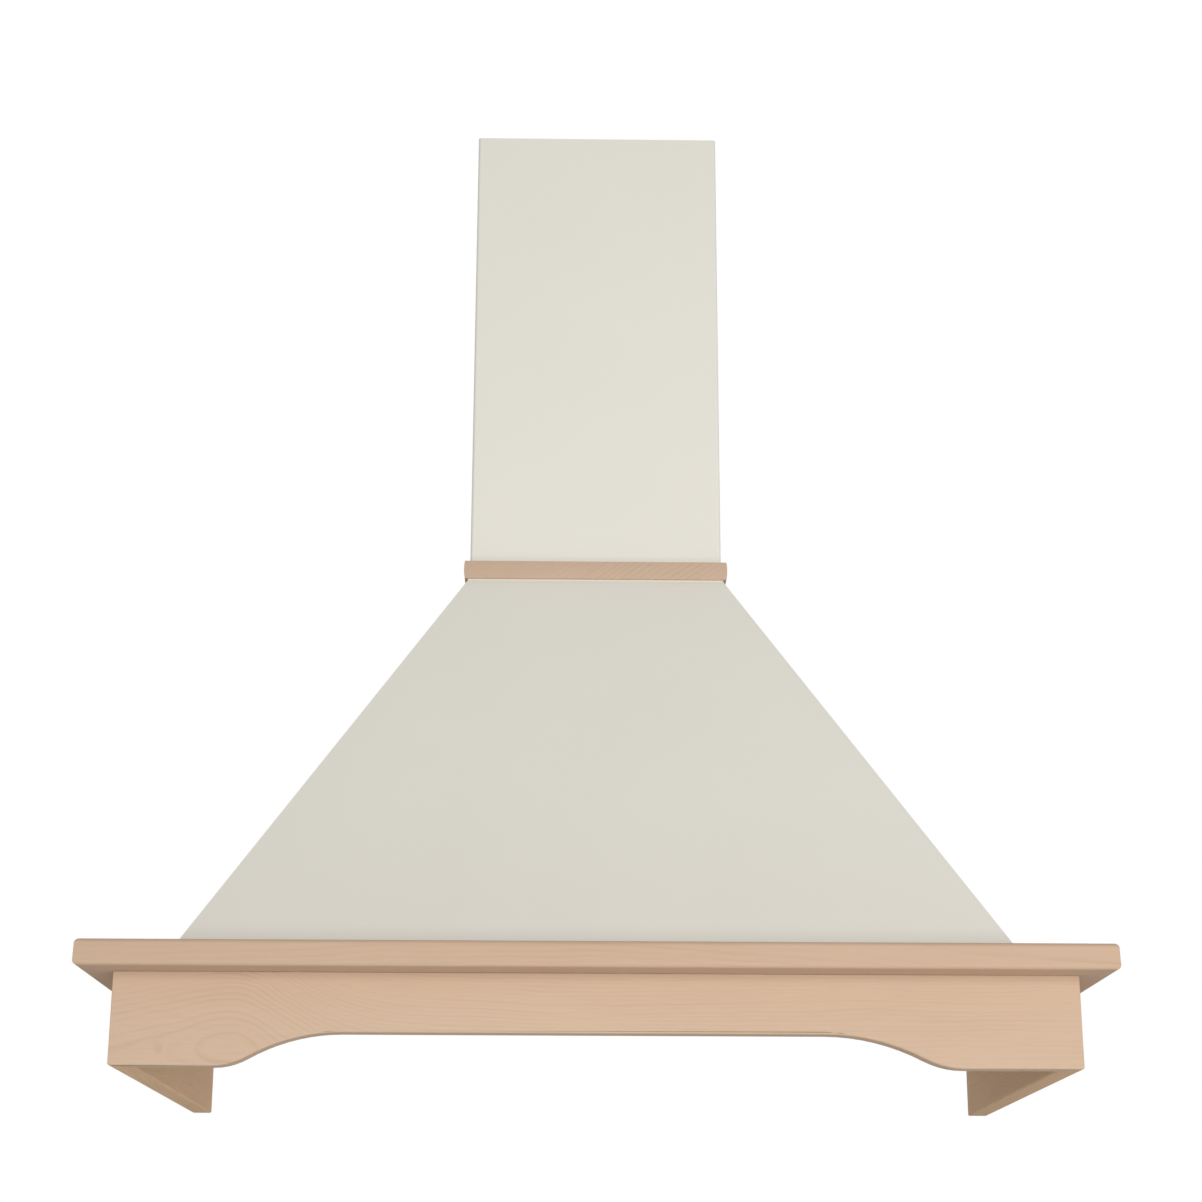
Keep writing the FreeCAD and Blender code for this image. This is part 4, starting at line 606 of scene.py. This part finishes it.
# %% [markdown]
# The lamp lens is frosted glass over a cold lamp: light goes in, scatters, and comes back milky.
# The circuit board is a green lacquer over copper tracks, which stand a hair proud of the board.

# %% Lens and circuit board
def frosted_glass():
    material, tree, shader, place = new_material("frosted_glass")
    grit = noise(tree, -600, 0, place, 2500.0, 1.0)
    feed(tree, shader.inputs["Base Color"], blend(tree, 300, 200, grit, (0.90, 0.91, 0.89, 1),
                                                  (0.82, 0.83, 0.80, 1)))
    feed(tree, shader.inputs["Roughness"], stretch(tree, 300, 0, grit, 0.35, 0.55))
    shader.inputs["Metallic"].default_value = 0.0
    shader.inputs["Transmission Weight"].default_value = 0.55
    add_bump(tree, shader, grit, 0.02 * MM)
    return material


def circuit_green():
    material, tree, shader, place = new_material("circuit_board")
    tracks = add_node(tree, "ShaderNodeTexBrick", -600, 0)
    tracks.inputs["Scale"].default_value = 90.0
    tracks.inputs["Mortar Size"].default_value = 0.03
    feed(tree, tracks.inputs["Vector"], place)
    feed(tree, shader.inputs["Base Color"],
         blend(tree, 300, 200, tracks.outputs["Fac"], (0.010, 0.075, 0.030, 1), (0.030, 0.170, 0.065, 1)))
    feed(tree, shader.inputs["Roughness"], stretch(tree, 300, 0, tracks.outputs["Fac"], 0.35, 0.25))
    add_bump(tree, shader, tracks.outputs["Fac"], 0.04 * MM)
    return material


lens_glass = frosted_glass()
board_green = circuit_green()

# %% [markdown]
# ## Dressing the solids
# The frame's record names a material slot for every node. Most nodes keep their shape, because it is
# already right to the fold and the hole, and only take a material here.
# The lists below say which finish stands for which slot.

# %% Slot finishes
finish_of_slot = {
    "cream_paint": cream_paint, "pan_paint": pan_paint, "galvanised": zinc_sheet,
    "steel": plated_steel, "aluminium": satin_aluminium, "lamp_metal": satin_chrome,
    "lens": lens_glass, "black_plastic": black_plastic, "housing_plastic": housing_plastic,
    "white_plastic": white_plastic, "button_plastic": button_plastic, "circuit_board": board_green,
    "motor_metal": motor_enamel,
}
slot_of = {row["node"]: row["material_slot"] for row in frame["record"]["subparts"]}
body_of = {n: body for body, members in frame["record"]["behaviour"]["bodies"].items() for n in members}


def finish_for(node):
    """The material of a node: its own wood if it has one, else its slot's finish."""
    own = node if node in wood_of else node.rsplit("_", 1)[0]
    return wood_of.get(own) or finish_of_slot.get(slot_of[node]) or wood_of["frame_wood"]


for node, solid in frame["nodes"].items():
    solid.data.materials.clear()
    solid.data.materials.append(finish_for(node))
print("finishes given to", len(frame["nodes"]), "nodes")

# %% [markdown]
# A new piece is a mesh that rides on a body of the frame, stands for one or more nodes, and takes
# its finish from a slot. This helper does those four things once.
# Shading is smooth, with edges over a given angle kept sharp, so a rounded edge reads as round.
# Smooth shading alone would tilt the light on a wide flat face towards its small rounded edges,
# so a Weighted Normal modifier lets the widest face at each corner decide.

# %% Make a piece
WELD = 0.004 * MM
FLAT_ANGLE = math.radians(0.6)


def make_piece(name, bm, like, material=None, stands_for=(), sharp=40):
    """Turn a bmesh into a piece that rides with the node it is like."""
    bmesh.ops.recalc_face_normals(bm, faces=bm.faces)
    mesh = bpy.data.meshes.new(name)
    bm.to_mesh(mesh)
    bm.free()
    mesh.shade_smooth()
    mesh.set_sharp_from_angle(angle=math.radians(sharp))
    mesh.materials.append(material or finish_for(like))
    piece = bpy.data.objects.new(name, mesh)
    scene.collection.objects.link(piece)
    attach(piece, body_of[like])
    if stands_for:
        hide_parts(*stands_for)
    even = piece.modifiers.new("even_shading", "WEIGHTED_NORMAL")
    even.keep_sharp = True
    return piece


def merged_copy(node):
    """A node's mesh with its loose triangles joined and its flat faces made whole."""
    bm = bmesh.new()
    bm.from_mesh(frame["nodes"][node].data)
    bmesh.ops.remove_doubles(bm, verts=bm.verts, dist=WELD)
    bmesh.ops.dissolve_limit(bm, angle_limit=FLAT_ANGLE, verts=bm.verts, edges=bm.edges,
                             delimit={"NORMAL"})
    return bm


# %% [markdown]
# A joiner never leaves a sawn arris: a pass of fine paper takes every edge down to a small round.
# Those rounds catch the light and tell the eye that this is wood. So each board of the frame is a
# copy of its solid with its long edges bevelled. Short edges, as those round a screw hole,
# stay as they are. On the sheet-metal panels only the folds are rounded, where two broad faces
# meet: a press brake never leaves a knife edge, but the cut rim of a thin sheet stays square.

# %% Eased boards and panels
SHORTEST_EDGE = 8 * MM
HARD_ANGLE = math.radians(20)
RIM_HALF_WIDTH = 1.2 * MM


def ease_edges(node, width, folds_only=False):
    """A copy of a node with its long hard edges rounded over."""
    bm = merged_copy(node)
    hard = []
    for edge in bm.edges:
        long_and_hard = (len(edge.link_faces) == 2 and edge.calc_length() > SHORTEST_EDGE
                         and edge.calc_face_angle() > HARD_ANGLE)
        broad = all(f.calc_area() / f.calc_perimeter() > RIM_HALF_WIDTH for f in edge.link_faces)
        if long_and_hard and (broad or not folds_only):
            hard.append(edge)
    bmesh.ops.bevel(bm, geom=hard, offset=width, offset_type="OFFSET", segments=3, profile=0.5,
                    affect="EDGES", clamp_overlap=False, material=-1)
    piece = make_piece("eased_" + node, bm, node, stands_for=[node])
    print(node, "eased", len(hard), "edges,", len(piece.data.polygons), "faces")


BOARDS = {
    "cornice_front": 0.6, "cornice_left": 0.6, "cornice_right": 0.6,
    "apron_front": 0.7, "apron_left": 0.7, "apron_right": 0.7,
    "collar_front": 0.3, "collar_left": 0.3, "collar_right": 0.3,
    "battens": 0.8, "rear_rail": 0.6, "control_housing": 0.5,
}
SHEETS = {
    "canopy_front": 0.6, "canopy_left": 0.6, "canopy_right": 0.6,
    "chimney_lower": 0.7, "chimney_upper": 0.6, "bottom_pan": 0.7,
}
for node, width in BOARDS.items():
    ease_edges(node, width * MM)
for node, width in SHEETS.items():
    ease_edges(node, width * MM, folds_only=True)

# %% [markdown]
# ## Grease filters
# The core of a grease filter is a pad of expanded aluminium: foil slit in rows and pulled open into
# diamonds, then laid in a few layers so that no drop of fat flies straight through.
# A picture of diamonds would look flat from the side, so each layer is a real net.
# A grid is poked, which puts a point in the middle of every cell, and when the grid's own edges are
# dissolved the triangles join in pairs across them: a sheet of diamonds. A Wireframe modifier
# then leaves only the strands. One layer is pressed into waves, as real pads are, to hold the rest apart.

# %% Expanded foil
LATCH_POCKET = Vector((64, 28)) * MM
POCKET_GAP = 4 * MM
RAIL_HOLD = 6 * MM
STRAND = 0.9 * MM
FLAT_CELL = (10 * MM, 7 * MM)
WAVY_CELL = (9 * MM, 8 * MM)
WAVE_HEIGHT = 1.1 * MM
WAVE_PITCH = 16 * MM


def expanded_foil(bm, low, high, level, cell, wave=0.0):
    """One layer of diamonds between two corners, flat or pressed into waves."""
    wide, deep = high.x - low.x, high.y - low.y
    made = bmesh.ops.create_grid(bm, x_segments=round(wide / cell[0]), y_segments=round(deep / cell[1]),
                                 size=0.5)
    layer = made["verts"]
    faces = list({f for v in layer for f in v.link_faces})
    edges = list({e for v in layer for e in v.link_edges})
    middle = (low + high) / 2
    bmesh.ops.scale(bm, vec=(wide, deep, 1), verts=layer)
    bmesh.ops.translate(bm, vec=(middle.x, middle.y, level), verts=layer)
    poked = bmesh.ops.poke(bm, faces=faces)
    bmesh.ops.dissolve_edges(bm, edges=[e for e in edges if not e.is_boundary])
    for vert in layer + poked["verts"]:
        if vert.is_valid:
            vert.co.z += wave * math.sin(math.tau * (vert.co.y - low.y) / WAVE_PITCH)


def filter_core(side):
    """Two nets, one flat and one wavy, cut out round the latch."""
    node = "filter_%s_mesh" % side
    low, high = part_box(node)
    frame_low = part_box("filter_%s_frame" % side)[0]
    hold = Vector((RAIL_HOLD, RAIL_HOLD, 0))
    third = (high.z - low.z) / 3
    bm = bmesh.new()
    expanded_foil(bm, low + hold, high - hold, low.z + 0.6 * third, FLAT_CELL)
    expanded_foil(bm, low + hold, high - hold, low.z + 2.0 * third, WAVY_CELL, WAVE_HEIGHT)
    middle_x = (low.x + high.x) / 2
    in_pocket = [f for f in bm.faces
                 if abs(f.calc_center_median().x - middle_x) < LATCH_POCKET.x / 2 + POCKET_GAP
                 and f.calc_center_median().y < frame_low.y + LATCH_POCKET.y + POCKET_GAP]
    bmesh.ops.delete(bm, geom=in_pocket, context="FACES")
    count = len(bm.faces)
    core = make_piece("filter_%s_core" % side, bm, node, mesh_aluminium, [node])
    core.modifiers.remove(core.modifiers["even_shading"])
    strands = core.modifiers.new("strands", "WIREFRAME")
    strands.thickness = STRAND
    strands.use_even_offset = False
    print("filter", side, "has", count, "diamonds")


for side in ("left", "right"):
    filter_core(side)

# %% [markdown]
# ## Turned pieces
# Lamp lenses, rivets and the printed rings on the buttons are all round, so each is an outline
# spun about an upright axis, as on a lathe. The outline lists distance from the axis and height.
# Spin leaves two seams, where it closes and at the axis, and removing doubles sews both.

# %% Lathe
def turn(bm, outline, middle, steps=32):
    """A turned shape about the upright line through middle."""
    verts = [bm.verts.new((middle.x + radius, middle.y, middle.z + height)) for radius, height in outline]
    edges = [bm.edges.new(pair) for pair in zip(verts, verts[1:])]
    bmesh.ops.spin(bm, geom=verts + edges, cent=middle, axis=(0, 0, 1), angle=math.tau, steps=steps,
                   use_merge=True)
    bmesh.ops.remove_doubles(bm, verts=bm.verts, dist=0.005 * MM)


def middle_of(node, level):
    """The middle of a node seen from above, at a given height."""
    low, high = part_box(node)
    return Vector(((low.x + high.x) / 2, (low.y + high.y) / 2, level))


# %% [markdown]
# A spot lamp's lens is pressed glass: a shallow dome with rings on it that spread the light.
# The rings are part of the outline, a small swell for each.

# %% Lamp lenses
LENS_RINGS = 6
STEPS_PER_RING = 6
RING_SWELL = 0.22 * MM
LENS_DOME = 0.9 * MM
LENS_RIM = 2.0 * MM


def lamp_lens(side):
    node = "lamp_%s_lens" % side
    low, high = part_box(node)
    radius = (high.x - low.x) / 2
    inner = radius - LENS_RIM
    outline = [(0, high.z - low.z), (radius, high.z - low.z), (radius, LENS_DOME), (inner, LENS_DOME)]
    steps = LENS_RINGS * STEPS_PER_RING
    for step in range(steps - 1, -1, -1):
        share = step / steps
        swell = RING_SWELL * (0.5 + 0.5 * math.cos(math.tau * LENS_RINGS * share))
        dome = LENS_DOME * share ** 2 * 0.7
        outline.append((inner * share, min(dome + swell * share + 0.02 * MM, LENS_DOME)))
    bm = bmesh.new()
    turn(bm, outline, middle_of(node, low.z), 64)
    return make_piece("lamp_%s_pressed_lens" % side, bm, node, stands_for=[node], sharp=50)


for side in ("left", "right"):
    lens = lamp_lens(side)
    print(lens.name, len(lens.data.polygons), "faces")

# %% [markdown]
# The five buttons carry plain marks, printed in pale ink that stands a hair proud:
# a ring with rays for the light, an open ring for off, and one, two or three dots for the speeds.

# %% Button marks
INK = 0.08 * MM
DOT = 0.75 * MM
DOT_SPACING = 2.8 * DOT
OFF_RING = (1.5 * MM, 2.1 * MM)
LAMP_RING = (1.1 * MM, 1.6 * MM)
RAYS = 8
RAY_REACH = 2.9 * MM
RAY_DOT = 0.38 * MM


def print_dot(bm, place, radius=DOT):
    turn(bm, [(0, 0), (radius, 0), (radius, -INK), (0, -INK)], place, 16)


def print_ring(bm, place, inner, outer):
    turn(bm, [(inner, 0), (outer, 0), (outer, -INK), (inner, -INK), (inner, 0)], place, 40)


def light_mark(bm, place):
    print_ring(bm, place, *LAMP_RING)
    for ray in range(RAYS):
        reach = Matrix.Rotation(math.tau * ray / RAYS, 4, "Z") @ Vector((RAY_REACH, 0, 0))
        print_dot(bm, place + reach, RAY_DOT)


def off_mark(bm, place):
    print_ring(bm, place, *OFF_RING)


def speed_mark(dots):
    def mark(bm, place):
        for dot in range(dots):
            print_dot(bm, place + Vector(((dot - (dots - 1) / 2) * DOT_SPACING, 0, 0)))
    return mark


MARKS = {"light": light_mark, "off": off_mark, "low": speed_mark(1), "medium": speed_mark(2),
         "high": speed_mark(3)}
for name, mark in MARKS.items():
    node = "button_" + name
    bm = bmesh.new()
    mark(bm, middle_of(node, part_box(node)[0].z + 0.01 * MM))
    make_piece(node + "_mark", bm, node, white_plastic)
print("button marks:", ", ".join(MARKS))

# %% [markdown]
# Each filter frame is folded from one strip and closed at its corners with rivets.

# %% Rivets
RIVET = 2.4 * MM
RIVET_RISE = 0.7 * MM
RIVET_INSET = 6 * MM


def rivets(side):
    node = "filter_%s_frame" % side
    low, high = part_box(node)
    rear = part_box("filter_%s_mesh" % side)[1].y
    bm = bmesh.new()
    outline = [(0, 0.02 * MM), (RIVET, 0.02 * MM), (0.93 * RIVET, -0.4 * RIVET_RISE),
               (0.6 * RIVET, -0.85 * RIVET_RISE), (0, -RIVET_RISE)]
    face_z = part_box("bottom_pan")[0].z
    for x in (low.x + RIVET_INSET, high.x - RIVET_INSET):
        for y in (low.y + RIVET_INSET, rear - RIVET_INSET):
            turn(bm, outline, Vector((x, y, face_z)), 20)
    make_piece("filter_%s_rivets" % side, bm, node)


for side in ("left", "right"):
    rivets(side)

# %% [markdown]
# ## Screws
# The solids hold every screw as a plain head on a plain pin, which is all that a joint needs.
# A real screw shows its drive first of all, here a cross. Its mouth is a grid of nine cells that
# lost its corners; that plus sinks and narrows, a bridge joins its rim to a circle, and the circle's
# edge is drawn out ring by ring over the head, along the shank and to the point.
# The sizes of the cross are shares of the head's, so one recipe makes every size of screw.

# %% One screw
CROSS_REACH = 0.56
CROSS_ARM = 0.16
CROSS_DEPTH = 0.6
CROSS_TAPER = 0.6


def draw_out(bm, ring, shape):
    """Carry a ring of edges on through a list of (radius, height), and return the last ring."""
    radius = ring[0].verts[0].co.xy.length
    for next_radius, height in shape:
        made = bmesh.ops.extrude_edge_only(bm, edges=ring)["geom"]
        ring = [g for g in made if isinstance(g, bmesh.types.BMEdge)]
        verts = list({v for e in ring for v in e.verts})
        bmesh.ops.scale(bm, vec=(next_radius / radius, next_radius / radius, 1), verts=verts)
        bmesh.ops.translate(bm, vec=(0, 0, height - verts[0].co.z), verts=verts)
        radius = next_radius
    return ring


def cross_head_screw(head_radius, head, radius, length):
    """A pan-head screw with the top of its head at height 0 and its point down."""
    bm = bmesh.new()
    bmesh.ops.create_grid(bm, x_segments=3, y_segments=3, size=1)
    corners = [f for f in bm.faces if min(abs(c) for c in f.calc_center_median().xy) > 0.4]
    bmesh.ops.delete(bm, geom=corners, context="FACES")
    reach, arm = CROSS_REACH * head_radius, CROSS_ARM * head_radius
    for vert in bm.verts:
        vert.co.x = math.copysign(reach if abs(vert.co.x) > 0.5 else arm, vert.co.x)
        vert.co.y = math.copysign(reach if abs(vert.co.y) > 0.5 else arm, vert.co.y)
    plus = bmesh.ops.dissolve_faces(bm, faces=bm.faces)["region"]
    floor = bmesh.ops.extrude_discrete_faces(bm, faces=plus)["faces"]
    sunk = floor[0].verts[:]
    bmesh.ops.translate(bm, vec=(0, 0, -CROSS_DEPTH * head), verts=sunk)
    bmesh.ops.scale(bm, vec=(CROSS_TAPER, CROSS_TAPER, 1), verts=sunk)
    mouth = [e for e in bm.edges if e.is_boundary]
    circle = bmesh.ops.create_circle(bm, segments=24, radius=0.72 * head_radius)["verts"]
    rim = list({e for v in circle for e in v.link_edges})
    bmesh.ops.bridge_loops(bm, edges=mouth + rim)
    tip = draw_out(bm, rim, [(0.92 * head_radius, -0.15 * head), (head_radius, -0.5 * head),
                             (head_radius, -head), (radius, -head), (radius, 2 * radius - length),
                             (0.2 * radius, -length)])
    bmesh.ops.contextual_create(bm, geom=tip)
    bmesh.ops.recalc_face_normals(bm, faces=bm.faces)
    return bm


# %% [markdown]
# To find the screws in a node, its mesh is walked shell by shell: from any vertex along the edges to
# all that can be reached. The longest side of a shell's box is the screw's axis,
# and the end that is wider is its head. No two screws are driven home to the same angle,
# so each cross is turned on a little from the one before.

# %% Find and dress the screws
TURN_PER_SCREW = 0.7


def shells(bm):
    """The separate shells of a mesh, each a list of vertices."""
    waiting = set(bm.verts)
    while waiting:
        shell, reached = [], [waiting.pop()]
        while reached:
            vert = reached.pop()
            shell.append(vert)
            near = {e.other_vert(vert) for e in vert.link_edges} & waiting
            waiting -= near
            reached.extend(near)
        yield shell


def measure_screw(shell):
    """Middle of the head's top, direction of the point, head radius and height, shank radius, length."""
    low = Vector([min(v.co[i] for v in shell) for i in range(3)])
    high = Vector([max(v.co[i] for v in shell) for i in range(3)])
    size = high - low
    axis = max(range(3), key=lambda i: size[i])
    middle = (low + high) / 2

    def width(vert):
        off = vert.co - middle
        off[axis] = 0
        return off.length

    ends = [max(width(v) for v in shell if abs(v.co[axis] - end[axis]) < 0.01 * MM) for end in (low, high)]
    from_low = ends[0] > ends[1]
    top = middle.copy()
    top[axis] = low[axis] if from_low else high[axis]
    way = Vector((0, 0, 0))
    way[axis] = 1 if from_low else -1
    head = max(abs(v.co[axis] - top[axis]) for v in shell if width(v) > 0.9 * max(ends))
    return top, way, max(ends), head, min(ends), size[axis]


def dress_screws(node):
    solids = merged_copy(node)
    bm = bmesh.new()
    count = 0
    for shell in shells(solids):
        top, way, *sizes = measure_screw(shell)
        screw = cross_head_screw(*sizes)
        twist = Matrix.Rotation(TURN_PER_SCREW * count, 4, "Z")
        aim = Vector((0, 0, -1)).rotation_difference(way).to_matrix().to_4x4()
        bmesh.ops.transform(screw, matrix=Matrix.Translation(top) @ aim @ twist, verts=screw.verts)
        one = bpy.data.meshes.new("screw")
        screw.to_mesh(one)
        screw.free()
        bm.from_mesh(one)
        bpy.data.meshes.remove(one)
        count += 1
    solids.free()
    make_piece(node + "_cross_head", bm, node, stands_for=[node])
    print(node, "has", count, "screws, the last is", [round(v / MM, 1) for v in sizes], "mm")


for node in ("canopy_screws", "collar_screws", "batten_screws", "blower_screws"):
    dress_screws(node)

# %% [markdown]
# ## Finish
# The dressed hood should be no bigger than its solids, so the last line prints
# how far the dressed box differs from the box of the solids.

# %% Sizes and finish
low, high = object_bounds()
differences = (*(low - SOLIDS_LOW), *(high - SOLIDS_HIGH))
print("dressed box differs by", [round(v / MM, 3) for v in differences], "mm")
